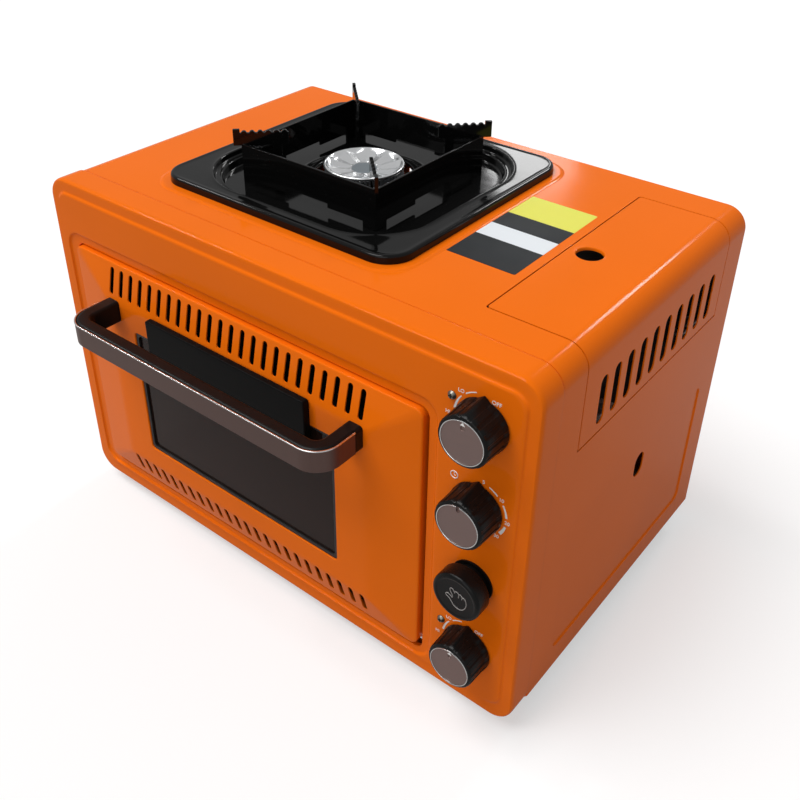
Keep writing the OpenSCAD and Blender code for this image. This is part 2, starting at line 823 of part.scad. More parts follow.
module safety_stem() {
  color(galvanised) place() translate([control_x, 0, safety_z]) rotate([-90, 0, 0])
    translate([0, 0, 5]) cylinder(d = shaft_d, h = 26);
}

// Cartridge bay

module bay_pan() {
  t = 1;
  x1 = body_w - 3 * sheet;
  color(galvanised) place() difference() {
    intersection() {
      translate([bay_x, bay_y, bay_z]) cube([x1 - bay_x, bay_back - bay_y, top_z - sheet - bay_z]);
      along_y(bay_y, bay_back) wrap_outline(2 * sheet + 0.2, side_z);
    }
    translate([bay_x + t, bay_y + t, bay_z + t]) cube([body_w, bay_back - bay_y - 2 * t, body_h]);
    // Way in for the regulator's neck
    translate([cart_x, bay_y - 1, cart_z]) rotate([-90, 0, 0]) cylinder(d = 30, h = 4);
    // Drain slots in the floor
    for (i = [0:6]) along_z(bay_z - 1, bay_z + 2) upright_slot(bay_x + 60, 90 + i * 28, 104 + i * 28, 5);
  }
}

module cartridge_cradle() {
  rail_h = cart_z - sqrt(cart_r * cart_r - 15 * 15) - bay_z - 1.4;
  color(galvanised) place() {
    translate([cart_x - 24, 104, bay_z + 1]) cube([48, 170, 1.2]);
    for (x = [cart_x - 18, cart_x + 15]) translate([x, 110, bay_z + 1]) cube([3, 158, rail_h]);
    // Stop behind the cartridge
    translate([cart_x - 18, 289.5, bay_z + 1]) cube([36, 1.5, 30]);
  }
}

module pressure_regulator() {
  color(brass) place() translate([cart_x, bay_y + 1, cart_z]) rotate([-90, 0, 0]) {
    cylinder(d = 46, h = 16);
    translate([0, 0, 16]) cylinder(d = 36, h = 10);
    translate([0, 0, 26]) difference() {
      cylinder(d = 24, h = 8);
      translate([0, 0, 2]) cylinder(d = 12, h = 8);
    }
    translate([0, 0, -8.5]) cylinder(d = 18, h = 9.5);
  }
}

module gas_pipes() {
  d = 6;
  reg_y = bay_y - 5;
  color([0.75, 0.45, 0.25]) place() {
    // From the regulator down to the safety valve
    bent_pipe([[cart_x - 8.9, reg_y, cart_z], [436, reg_y, cart_z], [436, reg_y, 150],
      [436, 37, 150], [460, 37, 150]], d);
    // From the safety valve down to the oven valve
    bent_pipe([[460, 37, 126], [446, 37, 126], [446, 37, oven_z], [457, 37, oven_z]], d);
    // From the oven valve to the oven burner
    bent_pipe([[control_x, 56, oven_z], [control_x, 155, oven_z], [control_x, 155, 34],
      [liner_x + liner_w + 11, 155, 34]], d);
    // From the stove valve to the mixer tube
    bent_pipe([[457, 38, stove_z + 6], [404, 38, stove_z + 6]], d);
  }
}

module cartridge_lid() {
  y0 = lid_y;
  y1 = lid_back;
  color(paint) place() difference() {
    along_y(y0, y1) difference() {
      intersection() {
        wrap_outline(sheet, side_z);
        translate([lid_x, lid_z + 0.8]) square([body_w, body_h]);
      }
      wrap_outline(2 * sheet, side_z - 1);
    }
    translate([finger_x, finger_y, top_z - 5]) cylinder(d = finger_d, h = 10);
    for (i = [0:lid_slots - 1])
      along_x(body_w - 6, body_w + 1)
        upright_slot((y0 + y1) / 2 + 2.5 + (i - (lid_slots - 1) / 2) * lid_pitch, 250, 292, 10.5);
  }
}

module lid_knuckles() {
  color(galvanised) place() for (y = [92, 242]) difference() {
    union() {
      translate([lid_hinge_x, y, lid_hinge_z]) rotate([-90, 0, 0]) cylinder(r = 2.9, h = 18);
      translate([lid_hinge_x, y, lid_hinge_z - 1]) cube([body_w - 2 * sheet - lid_hinge_x, 18, 3.5]);
      translate([body_w - 3.2 * sheet, y, lid_hinge_z - 1]) cube([1.2 * sheet, 18, 4.6]);
    }
    translate([lid_hinge_x, y - 1, lid_hinge_z]) rotate([-90, 0, 0])
      cylinder(d = lid_pin_d + 2 * running_gap, h = 20);
  }
}

module lid_brackets() {
  color(galvanised) place() for (y = [86, 110.5, 236, 260.5]) difference() {
    union() {
      translate([lid_hinge_x, y, lid_hinge_z]) rotate([-90, 0, 0]) cylinder(r = 2.9, h = 5.5);
      // Arm from the left, clear of the lid's lower edge as it swings under the pin
      translate([lid_hinge_x - 9, y, lid_hinge_z - 0.5]) cube([9, 5.5, 2.9]);
      translate([lid_hinge_x - 9, y, bay_z + 1]) cube([2.4, 5.5, lid_hinge_z - bay_z + 1.4]);
    }
    translate([lid_hinge_x, y - 1, lid_hinge_z]) rotate([-90, 0, 0]) cylinder(d = lid_pin_d, h = 8);
  }
}

module lid_pin() {
  color(galvanised) place()
    for (y = [86, 236]) translate([lid_hinge_x, y, lid_hinge_z]) rotate([-90, 0, 0])
      cylinder(d = lid_pin_d, h = 30);
}

// Hob

module mixer_tube() {
  run = (mixer_to - mixer_from) / norm(mixer_to - mixer_from);
  color(galvanised) place() difference() {
    union() {
      rod(mixer_from, mixer_to - run * 20, mixer_d);
      translate(mixer_from) rotate([0, 90, atan2(run[1], run[0])]) cylinder(d1 = 28, d2 = mixer_d, h = 14);
    }
    rod(mixer_from - run * 2, mixer_to - run * 10, mixer_d - 3);
  }
}

module burner_cup() {
  color([0.62, 0.63, 0.64]) place() translate([hob_x, hob_y, 0]) difference() {
    union() {
      translate([0, 0, 274]) cylinder(d = 46, h = 30);
      translate([0, 0, 304]) cylinder(d1 = 46, d2 = 62, h = 12);
      translate([0, 0, 316]) cylinder(d = 62, h = 12);
    }
    translate([0, 0, 276]) cylinder(d = 40, h = 60);
    translate([0, 0, 318]) cylinder(d = 56, h = 30);
    translate([-hob_x, -hob_y, 0]) rod(mixer_from, mixer_to, mixer_d);
  }
}

module burner_head() {
  r = burner_d / 2;
  color([0.80, 0.81, 0.83]) place() translate([hob_x, hob_y, 328]) difference() {
    // Dished top, lowest at its centre disc
    rotate_extrude() polygon([
      [0, 0], [r - 5, 0], [r - 5, 1], [r - 1.2, 2.5], [r - 1.2, 9.5], [r, 10.3], [r, 12],
      [r - 0.8, 13], [r - 2, 13], [12.5, 7.8], [11.5, 7.5], [0, 7.5]
    ]);
    // Flutes fanning out from the centre disc
    for (i = [0:flute_count - 1]) rotate(i * 360 / flute_count) translate([13, 0, 8.5])
      rotate([0, 90 - 19, 0]) cylinder(r1 = 0.4, r2 = 3.4, h = 21, $fn = 24);
    // Flame ports round the rim
    for (i = [0:35]) rotate(i * 10) translate([r - 3.5, -1, 3.5]) cube([6, 2, 5]);
    translate([0, 0, -1]) cylinder(r = r - 9, h = 7);
  }
}

module stove_electrode() {
  color([0.92, 0.90, 0.86]) place() translate([hob_x + 38, hob_y + 12, 0]) {
    translate([0, 0, 300]) cylinder(d = 6, h = 31);
    translate([0, 0, 331]) cylinder(d = 2, h = 4);
  }
}

module tray_rounded(inset, r) {
  rounded(hob_x - tray_w / 2 + inset, hob_y - tray_d / 2 + inset,
    hob_x + tray_w / 2 - inset, hob_y + tray_d / 2 - inset, r);
}

module basin_rounded(grow, r) {
  rounded(hob_x - basin_w / 2 - grow, hob_y - basin_d / 2 - grow,
    hob_x + basin_w / 2 + grow, hob_y + basin_d / 2 + grow, r);
}

module drip_tray() {
  t = 1.4;
  color(gloss_black) place() difference() {
    union() {
      // Rim with a rounded upper edge
      hull() {
        along_z(tray_z, rim_z - 2.5) tray_rounded(0, 25);
        along_z(rim_z - 1, rim_z - 0.9) tray_rounded(0.9, 24.1);
        along_z(rim_z - eps, rim_z) tray_rounded(2.6, 22.4);
      }
      along_z(basin_z - t, tray_z + 1) basin_rounded(t - ledge_w, basin_r + t - ledge_w);
    }
    // Hollow under the rim
    difference() {
      along_z(tray_z - 1, rim_z - t) tray_rounded(t, 25 - t);
      along_z(tray_z - 2, rim_z + 1) basin_rounded(t, basin_r + t);
    }
    // Hollow under the ledge
    difference() {
      along_z(tray_z - 1, ledge_z - t) basin_rounded(t + 0.5, basin_r + t + 0.5);
      along_z(tray_z - 2, rim_z + 1) basin_rounded(t - ledge_w, basin_r + t - ledge_w);
    }
    // Basin with a ledge half way down
    along_z(basin_z, rim_z + 1) basin_rounded(-ledge_w, basin_r - ledge_w);
    along_z(ledge_z, rim_z + 1) basin_rounded(0, basin_r);
    // Hole for the burner
    translate([hob_x, hob_y, basin_z - 5]) cylinder(r = burner_hole_r, h = 20);
  }
  // Raised collar round the burner
  color(gloss_black) place() translate([hob_x, hob_y, basin_z]) difference() {
    cylinder(r1 = well_r, r2 = burner_hole_r + 3, h = 6);
    translate([0, 0, -1.4]) cylinder(r1 = well_r - 1.4, r2 = burner_hole_r + 1.6, h = 6);
    translate([0, 0, -1]) cylinder(r = burner_hole_r, h = 9);
  }
}

// One side of the pan support's square: a strip with feet and shallow notches along its foot
module support_strip() {
  half = support_side / 2;
  foot = basin_z;
  translate([-half, -half, 0]) along_y(0, strip_t) difference() {
    translate([0, foot]) square([support_side, support_z1 - foot]);
    translate([14, foot - 1]) square([38, support_z0 - foot + 1]);
    translate([support_side - 52, foot - 1]) square([38, support_z0 - foot + 1]);
    translate([52, foot - 1]) square([support_side - 104, support_z0 - foot + 5]);
  }
}

// Diagonal arm, drawn from the centre outwards, with rounded teeth, a raised outer end and a leg
// inside the square
module support_arm() {
  corner = support_side / 2 * sqrt(2);
  inner = corner - 41;
  outer = corner + 6.5;
  arm_z0 = support_z1 - 1;
  end_w = 6;
  teeth = 6;
  tooth_r = 2.6;
  pitch = (outer - end_w - inner) / teeth;
  translate([0, 1.5, 0]) rotate([90, 0, 0]) linear_extrude(3) {
    translate([inner, arm_z0]) square([outer - inner, arm_top - 2 - arm_z0]);
    translate([outer - end_w, arm_z0]) square([end_w, arm_top + 1.5 - arm_z0]);
    translate([inner + 6, support_z0 + 2]) square([8, arm_top - support_z0 - 8]);
    for (i = [0:teeth - 1]) translate([inner + (i + 0.5) * pitch, arm_top - tooth_r]) circle(tooth_r);
  }
}

module pan_support() {
  color(gloss_black) place() translate([hob_x, hob_y, 0]) {
    for (a = [0, 90, 180, 270]) rotate(a) {
      support_strip();
      rotate(45) support_arm();
    }
  }
}

cabinet_shell();
front_bezel();
back_panel();
base_pan();
rubber_feet();
front_screws();
back_screws();
oven_liner();
flame_spreader();
oven_burner_tube();
oven_electrode();
bay_pan();
cartridge_cradle();
pressure_regulator();
gas_pipes();
stove_valve();
oven_valve();
timer_movement();
safety_valve();
safety_collar();
hinge_brackets();
lid_brackets();
lid_pin();
mixer_tube();
burner_cup();
burner_head();
stove_electrode();
door_panel();
door_inner_panel();
window_glass();
window_edge();
glass_retainer();
heat_shield();
handle_bar();
handle_strip();
handle_screws();
hinge_pins();
wire_rack();
stove_knob();
stove_disc();
stove_shaft();
timer_knob();
timer_disc();
timer_shaft();
oven_knob();
oven_disc();
oven_shaft();
safety_button();
safety_stem();
cartridge_lid();
lid_knuckles();
drip_tray();
pan_support();
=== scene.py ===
"""Builds the looks of a camp oven with a one-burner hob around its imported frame.

Shapes are drawn in the cabinet's own millimetres: x from its left side, y from the front border
towards the back, z from the foot of the front bezel. at() turns them into the frame's metres.
"""

import json
import math
from types import SimpleNamespace

import bmesh
import bpy
from bpy.props import FloatProperty, FloatVectorProperty, IntProperty, PointerProperty
from mathutils import Matrix, Vector

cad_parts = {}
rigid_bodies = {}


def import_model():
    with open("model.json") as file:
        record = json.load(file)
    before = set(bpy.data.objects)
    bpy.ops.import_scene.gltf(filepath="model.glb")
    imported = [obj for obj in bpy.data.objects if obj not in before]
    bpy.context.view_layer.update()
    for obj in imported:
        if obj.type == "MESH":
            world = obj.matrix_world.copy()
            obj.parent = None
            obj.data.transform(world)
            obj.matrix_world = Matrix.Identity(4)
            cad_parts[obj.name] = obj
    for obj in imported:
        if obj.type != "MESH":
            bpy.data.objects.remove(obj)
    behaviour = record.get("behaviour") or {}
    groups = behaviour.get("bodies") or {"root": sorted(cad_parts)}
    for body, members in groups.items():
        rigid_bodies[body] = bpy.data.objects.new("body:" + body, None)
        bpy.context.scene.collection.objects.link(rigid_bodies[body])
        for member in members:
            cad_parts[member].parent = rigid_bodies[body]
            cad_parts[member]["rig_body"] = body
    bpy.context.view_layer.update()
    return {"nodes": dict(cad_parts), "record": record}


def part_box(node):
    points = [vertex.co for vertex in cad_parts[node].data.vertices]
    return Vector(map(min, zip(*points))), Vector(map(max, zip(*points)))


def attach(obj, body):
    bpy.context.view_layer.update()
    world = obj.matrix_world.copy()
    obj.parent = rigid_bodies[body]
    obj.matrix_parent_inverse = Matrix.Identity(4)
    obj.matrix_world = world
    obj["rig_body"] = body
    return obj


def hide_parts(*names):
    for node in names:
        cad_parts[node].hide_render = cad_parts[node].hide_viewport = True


bl_info = {
    "name": "Camp oven",
    "version": (1, 0, 0),
    "blender": (4, 5, 0),
    "location": "View3D > Sidebar > Camp oven",
    "description": "Builds a camp oven's visible pieces around its packed frame",
    "category": "Object",
}

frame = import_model()
SLOT_OF = {row["node"]: row["material_slot"] for row in frame["record"]["subparts"]}

# The cabinet's frame, taken from the bezel's box
MM = 0.001
PANEL_RISE = 2.0
BEZEL_LOW, BEZEL_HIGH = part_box("front_bezel")
ORIGIN = Vector((BEZEL_LOW.x, BEZEL_LOW.y + PANEL_RISE * MM, BEZEL_LOW.z))
BODY_W = (BEZEL_HIGH.x - BEZEL_LOW.x) / MM
BODY_H = (BEZEL_HIGH.z - BEZEL_LOW.z) / MM
BEZEL_D = (BEZEL_HIGH.y - ORIGIN.y) / MM


def at(x, y, z):
    """A place in the cabinet's millimetres, in the frame's metres."""
    return ORIGIN + Vector((x, y, z)) * MM


def spot(node):
    """Lowest and highest corners of a CAD node, in the cabinet's millimetres."""
    return [(corner - ORIGIN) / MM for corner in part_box(node)]


# Settings


def length(name, default, description):
    """A length property that is given in millimetres and kept in metres."""
    return FloatProperty(
        name=name, description=description, default=default * MM, subtype="DISTANCE", unit="LENGTH"
    )


def tint(name, default, description):
    return FloatVectorProperty(
        name=name, description=description, default=default, size=3, min=0, max=1, subtype="COLOR"
    )


class CabinetSizes(bpy.types.PropertyGroup):
    """Sizes of the cabinet's sheet work"""

    sheet: length("Sheet", 1.2, "Thickness of the sheet steel")
    edge_r: length("Edge radius", 20, "Radius of the cabinet's long edges")
    front_round: length("Front rounding", 5, "Rounding of the bezel's front edge")
    press: length("Press radius", 1.6, "Radius of the pressed steps")
    plateau: length("Plateau", 1.2, "Rise of the pressed plateau under the drip tray")
    edge_break: length("Edge break", 0.45, "Rounding of the cut edges")


class DoorSizes(bpy.types.PropertyGroup):
    """Sizes of the oven door"""

    rim: length("Rim", 4, "How far the rim stands proud of the border")
    proud: length("Face", 12, "How far the flat stands proud of the border")
    side: length("Side bevel", 46, "Width of the side bevels")
    top: length("Top bevel", 35, "Height of the top bevel")
    bottom: length("Bottom bevel", 30.5, "Height of the bottom bevel")
    slot_w: length("Slot width", 5.2, "Width of a vent slot")
    slot_pitch: length("Slot pitch", 12.45, "Distance between vent slots")
    slot_count: IntProperty(name="Slots", description="Vent slots in a row", default=24, min=2)


class HandleSizes(bpy.types.PropertyGroup):
    """Sizes of the door handle"""

    thick: length("Thickness", 14.5, "Thickness of the bar")
    high: length("Height", 21, "Height of the bar")
    corner: length("Corner", 22, "Outer radius of the handle's corners")
    strip_h: length("Strip height", 19.5, "Height of the metal strip")
    strip_gap: length("Strip end", 8, "Distance of the strip's ends from the door")


class ControlSizes(bpy.types.PropertyGroup):
    """Sizes of the knobs and their dials"""

    knob_d: length("Knob", 42, "Diameter of a knob at its base")
    knob_l: length("Knob length", 24, "Length of a knob")
    disc_d: length("Disc", 35, "Diameter of a knob's face disc")
    flute: length("Flute depth", 0.8, "Depth of the grip flutes")
    pointer: length("Pointer", 23.6, "Radius of the pointer's tip")
    print_rise: length("Print", 0.12, "Thickness of the printed marks")


class HobSizes(bpy.types.PropertyGroup):
    """Sizes of the hob"""

    burner_d: length("Burner", 72, "Diameter of the burner head")
    petals: IntProperty(name="Petals", description="Flutes in the burner head", default=10, min=6)
    ports: IntProperty(name="Ports", description="Teeth round the burner's rim", default=60, min=12)
    basin_w: length("Basin width", 227, "Width of the tray's basin")
    basin_d: length("Basin depth", 219, "Depth of the tray's basin, front to back")


class FinishColours(bpy.types.PropertyGroup):
    """Colours of the finishes"""

    paint: tint("Paint", (0.90, 0.165, 0.004), "Gloss orange paint")
    strip: tint("Handle strip", (0.135, 0.085, 0.075), "Warm grey satin strip of the handle")
    knob_face: tint("Knob face", (0.250, 0.176, 0.162), "Warm grey satin discs of the knobs")
    black: tint("Black", (0.003, 0.003, 0.003), "Gloss black of the knobs and enamel")
    glass: tint("Glass", (0.075, 0.036, 0.028), "Smoked window glass")


class CampOvenSettings(bpy.types.PropertyGroup):
    """All settings of the camp oven"""

    cabinet: PointerProperty(type=CabinetSizes)
    door: PointerProperty(type=DoorSizes)
    handle: PointerProperty(type=HandleSizes)
    control: PointerProperty(type=ControlSizes)
    hob: PointerProperty(type=HobSizes)
    colour: PointerProperty(type=FinishColours)


def sizes(group):
    """A property group's values, its lengths in millimetres."""
    values = {}
    for key, rna in group.bl_rna.properties.items():
        if rna.type == "FLOAT":
            values[key] = getattr(group, key) / MM
        elif rna.type == "INT":
            values[key] = getattr(group, key)
    return SimpleNamespace(**values)


# Outlines and lofts


def facing_front(u, v, w):
    return (u, -w, v)


def facing_up(u, v, w):
    return (u, v, w)


def facing_right(u, v, w):
    return (w, u, v)


def arc(u, v, r, start, steps, sweep=90):
    """Points of an arc about (u, v) from a starting angle in degrees."""
    angles = [math.radians(start + sweep * i / steps) for i in range(steps + 1)]
    return [(u + r * math.cos(a), v + r * math.sin(a)) for a in angles]


def ring(u0, v0, u1, v1, r, w, steps=8):
    """Rounded rectangle at height w, anticlockwise from its lower left corner."""
    corners = ((u0 + r, v0 + r, 180), (u1 - r, v0 + r, 270), (u1 - r, v1 - r, 0), (u0 + r, v1 - r, 90))
    return [(u, v, w) for cu, cv, start in corners for u, v in arc(cu, cv, r, start, steps)]


def rounded(u0, v0, u1, v1, r, steps=8):
    """Rounded rectangle as an outline of (u, v) points."""
    return [p[:2] for p in ring(u0, v0, u1, v1, r, 0, steps)]


def grown(outline, by, w):
    """The outline (u0, v0, u1, v1, r) moved outwards, at height w."""
    u0, v0, u1, v1, r = outline
    return (u0 - by, v0 - by, u1 + by, v1 + by, r + by, w)


def softened_path(knots, steps=4):
    """Rounds a path of ring settings: each knot is (settings, radius of its rounding)."""
    path = []
    for i, (knot, radius) in enumerate(knots):
        if radius == 0 or i in (0, len(knots) - 1):
            path.append(knot)
            continue
        ends = []
        for other in (knots[i - 1][0], knots[i + 1][0]):
            inset = sum(abs(a - b) for a, b in zip(other[:4], knot[:4])) / 4
            reach = math.hypot(inset, other[5] - knot[5])
            share = min(radius / reach, 0.5) if reach else 0
            ends.append([k + (o - k) * share for k, o in zip(knot, other)])
        for j in range(steps + 1):
            s = j / steps
            weights = ((1 - s) ** 2, 2 * s * (1 - s), s * s)
            path.append(tuple(sum(c * q for c, q in zip(weights, p)) for p in zip(ends[0], knot, ends[1])))
    return path


def loft(rings, turn, first=False, last=False, wrap=True):
    """Points and faces of the skin over rings of (u, v, w) points, turned to face one way."""
    count = len(rings[0])
    points = [turn(*p) for r in rings for p in r]
    faces = []
    for i in range(len(rings) - 1):
        for j in range(count if wrap else count - 1):
            k = (j + 1) % count
            faces.append((i * count + j, i * count + k, (i + 1) * count + k, (i + 1) * count + j))
    if first:
        faces.append(tuple(reversed(range(count))))
    if last:
        faces.append(tuple(range((len(rings) - 1) * count, len(rings) * count)))
    return points, faces


def pressed(knots, turn, first=False, last=False, steps=8):
    """Loft of rounded rectangles along a rounded path."""
    return loft([ring(*k, steps=steps) for k in softened_path(knots)], turn, first, last)


def prism(outline, w0, w1, turn=facing_front):
    """Solid between two heights over an outline of (u, v) points."""
    rings = [[(u, v, w) for u, v in outline] for w in (w0, w1)]
    return loft(rings, turn, True, True)


def capsule(u, v0, v1, width, steps=6):
    """Outline of an upright slot with round ends."""
    r = width / 2
    return arc(u, v0 + r, r, 180, steps, 180) + arc(u, v1 - r, r, 0, steps, 180)


def disc(u, v, r, steps=32):
    return [
        (u + r * math.cos(2 * math.pi * i / steps), v + r * math.sin(2 * math.pi * i / steps))
        for i in range(steps)
    ]


def turned(centre, profile, turn, steps=64, radius=None, first=True, last=True):
    """Lathe shape of (radius, height) pairs about a centre; radius(r, h, a) may shape it by angle."""
    cu, cv = centre
    rings = []
    for r, h in profile:
        points = []
        for i in range(steps):
            a = 2 * math.pi * i / steps
            here = radius(r, h, a) if radius else r
            points.append((cu + here * math.cos(a), cv + here * math.sin(a), h))
        rings.append(points)
    return loft(rings, turn, first, last)


def swept(path, section):
    """Solid along a level path of ((x, y, z), (outwards x, outwards y)), with a (u, v) section."""
    rings = [
        [(x + u * ox, y + u * oy, z + v) for u, v in section] for (x, y, z), (ox, oy) in path
    ]
    return loft(rings, facing_up, True, True)


# Pieces


def linked(name, data):
    """A new object in the scene's collection."""
    made = bpy.data.objects.new(name, data)
    bpy.context.scene.collection.objects.link(made)
    return made


def object_of(build, name):
    """Ends a bmesh and makes its object."""
    mesh = bpy.data.meshes.new(name)
    build.to_mesh(mesh)
    build.free()
    return linked(name, mesh)


def mesh_piece(name, *shapes, closed=True):
    """One object made of shapes in the cabinet's millimetres."""
    build = bmesh.new()
    for points, faces in shapes:
        made = [build.verts.new(at(*p)) for p in points]
        for face in faces:
            build.faces.new([made[i] for i in face])
    bmesh.ops.remove_doubles(build, verts=build.verts, dist=2e-6)
    if closed:
        bmesh.ops.recalc_face_normals(build, faces=build.faces)
    return object_of(build, name)


def settle_modifiers(piece):
    """Turns what the piece's modifiers make into its plain mesh."""
    graph = bpy.context.evaluated_depsgraph_get()
    made = bpy.data.meshes.new_from_object(piece.evaluated_get(graph))
    old = piece.data
    piece.modifiers.clear()
    piece.data = made
    if not old.users:
        bpy.data.meshes.remove(old)
    return piece


def modified(piece, kind, **settings):
    modifier = piece.modifiers.new(kind.title(), kind)
    for key, value in settings.items():
        setattr(modifier, key, value)
    return settle_modifiers(piece)


def thickened(piece, thickness):
    return modified(piece, "SOLIDIFY", thickness=thickness * MM, offset=-1, use_even_offset=True)


def broken_edges(piece, width, angle=35, segments=2):
    """Rounds every edge that is sharper than the angle."""
    return modified(
        piece, "BEVEL", width=width * MM, segments=segments, limit_method="ANGLE",
        angle_limit=math.radians(angle), use_clamp_overlap=True, miter_outer="MITER_ARC",
    )


def combined(piece, tool, operation):
    modified(piece, "BOOLEAN", operation=operation, object=tool, solver="EXACT")
    bpy.data.objects.remove(tool)
    return piece


def cut(piece, *shapes):
    return combined(piece, mesh_piece("cutter", *shapes), "DIFFERENCE")


def joined(piece, *shapes):
    return combined(piece, mesh_piece("addition", *shapes), "UNION")


def smooth(piece, angle=32):
    """Smooth shading that leaves a flat face flat beside its rounded edges."""
    piece.data.shade_smooth()
    piece.data.set_sharp_from_angle(angle=math.radians(angle))
    return modified(piece, "WEIGHTED_NORMAL", mode="FACE_AREA", keep_sharp=True)


def place(piece, body, slot, *nodes, finish=None, angle=32):
    """Gives a piece its shading, finish and body, and hides the CAD nodes that it stands for."""
    smooth(piece, angle)
    piece.data.materials.clear()
    piece.data.materials.append(finish_of(finish or slot))
    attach(piece, body)
    if nodes:
        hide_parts(*nodes)
    return piece


def body_of(node):
    return frame["nodes"][node]["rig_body"]


def eased(node, width, angle=35, segments=2, finish=None):
    """A merged copy of a CAD node with its edges broken, in the node's place."""
    build = bmesh.new()
    build.from_mesh(frame["nodes"][node].data)
    bmesh.ops.remove_doubles(build, verts=build.verts, dist=1e-6)
    bmesh.ops.dissolve_limit(
        build, angle_limit=math.radians(0.6), verts=build.verts, edges=build.edges, delimit=set()
    )
    piece = object_of(build, node + "_eased")
    broken_edges(piece, width, angle, segments)
    return place(piece, body_of(node), SLOT_OF[node], node, finish=finish)


# Geometry Nodes for what repeats


def repeat_tree(name, turning):
    """Tree that repeats its geometry Count times, each copy a Step further along or round."""
    tree = bpy.data.node_groups.new(name, "GeometryNodeTree")
    kinds = {
        "Geometry": "Geometry", "Count": "Int", "Step": "Vector", "Pivot": "Vector", "Finish": "Material",
    }
    for label, kind in kinds.items():
        tree.interface.new_socket(label, in_out="INPUT", socket_type="NodeSocket" + kind)
    tree.interface.new_socket("Geometry", in_out="OUTPUT", socket_type="NodeSocketGeometry")
    nodes = tree.nodes
    given = nodes.new("NodeGroupInput")
    row = nodes.new("GeometryNodeMeshLine")
    spread = nodes.new("GeometryNodeInstanceOnPoints")
    real = nodes.new("GeometryNodeRealizeInstances")
    coat = nodes.new("GeometryNodeSetMaterial")
    out = nodes.new("NodeGroupOutput")
    wires = [
        (given, "Count", row, "Count"), (row, "Mesh", spread, "Points"),
        (given, "Geometry", spread, "Instance"), (real, "Geometry", coat, "Geometry"),
        (given, "Finish", coat, "Material"), (coat, "Geometry", out, 0),
    ]
    if turning:
        row.inputs["Offset"].default_value = (0, 0, 0)
        index = nodes.new("GeometryNodeInputIndex")
        angle = nodes.new("ShaderNodeVectorMath")
        angle.operation = "SCALE"
        turn = nodes.new("GeometryNodeRotateInstances")
        turn.inputs["Local Space"].default_value = False
        wires += [
            (given, "Step", angle, 0), (index, 0, angle, "Scale"),
            (spread, "Instances", turn, "Instances"), (angle, 0, turn, "Rotation"),
            (given, "Pivot", turn, "Pivot Point"), (turn, "Instances", real, "Geometry"),
        ]
    else:
        wires += [(given, "Step", row, "Offset"), (spread, "Instances", real, "Geometry")]
    for start, output, end, socket in wires:
        tree.links.new(start.outputs[output], end.inputs[socket])
    return tree


def repeated(piece, count, step, slot, pivot=None):
    """Repeats a piece in a row of the given step, or round the pivot by the given angles."""
    name = "Repeat round" if pivot else "Repeat along"
    tree = bpy.data.node_groups.get(name) or repeat_tree(name, pivot is not None)
    values = {"Count": count, "Step": step, "Pivot": pivot or (0, 0, 0), "Finish": finish_of(slot)}
    modifier = piece.modifiers.new(name, "NODES")
    modifier.node_group = tree
    for item in tree.interface.items_tree:
        if item.in_out == "INPUT" and item.name in values:
            modifier[item.identifier] = values[item.name]
    return settle_modifiers(piece)


def cut_row(piece, slot, first, count, step):
    """Cuts a row of painted slots, the first of the shape given."""
    cutter = mesh_piece("slots", first)
    repeated(cutter, count, step, slot)
    return combined(piece, cutter, "DIFFERENCE")


# Finishes


class Wire:
    """A socket in a shader's node tree, with the arithmetic that the finishes use."""

    def __init__(self, shading, socket):
        self.shading = shading
        self.socket = socket

    def _math(self, operation, a, b):
        return self.shading.node("ShaderNodeMath", {"operation": operation}, {0: a, 1: b})

    def __add__(self, other):
        return self._math("ADD", self, other)

    __radd__ = __add__

    def __sub__(self, other):
        return self._math("SUBTRACT", self, other)

    def __rsub__(self, other):
        return self._math("SUBTRACT", other, self)

    def __mul__(self, other):
        return self._math("MULTIPLY", self, other)

    __rmul__ = __mul__

    def __truediv__(self, other):
        return self._math("DIVIDE", self, other)

    def __rtruediv__(self, other):
        return self._math("DIVIDE", other, self)

    def over(self, low, high):
        """Nought below low, one above high, and smooth between."""
        settings = {"interpolation_type": "SMOOTHSTEP"}
        return self.shading.node("ShaderNodeMapRange", settings, {"Value": self, 1: low, 2: high})

    def or_more(self, other):
        return self._math("MAXIMUM", self, other)


class Shading:
    """A shader's node tree, written as expressions."""

    def __init__(self, tree):
        self.tree = tree

    def node(self, kind, settings=None, inputs=None, output=0):
        made = self.tree.nodes.new(kind)
        for key, value in (settings or {}).items():
            if key == "stops":
                ramp = made.color_ramp
                while len(ramp.elements) < len(value):
                    ramp.elements.new(1)
                for element, (position, colour) in zip(ramp.elements, value):
                    element.position = position
                    element.color = (*colour, 1) if len(colour) == 3 else colour
            elif key == "ramp_interpolation":
                made.color_ramp.interpolation = value
            else:
                setattr(made, key, value)
        for key, value in (inputs or {}).items():
            self.feed(made.inputs[key], value)
        return Wire(self, made.outputs[output])

    def feed(self, socket, value):
        if isinstance(value, Wire):
            self.tree.links.new(value.socket, socket)
        elif hasattr(value, "__len__") and len(value) == 3 and len(socket.default_value) == 4:
            socket.default_value = (*value, 1)
        else:
            socket.default_value = value

    def blend(self, factor, a, b):
        settings = {"data_type": "RGBA"}
        return self.node("ShaderNodeMix", settings, {0: factor, 6: a, 7: b}, output=2)


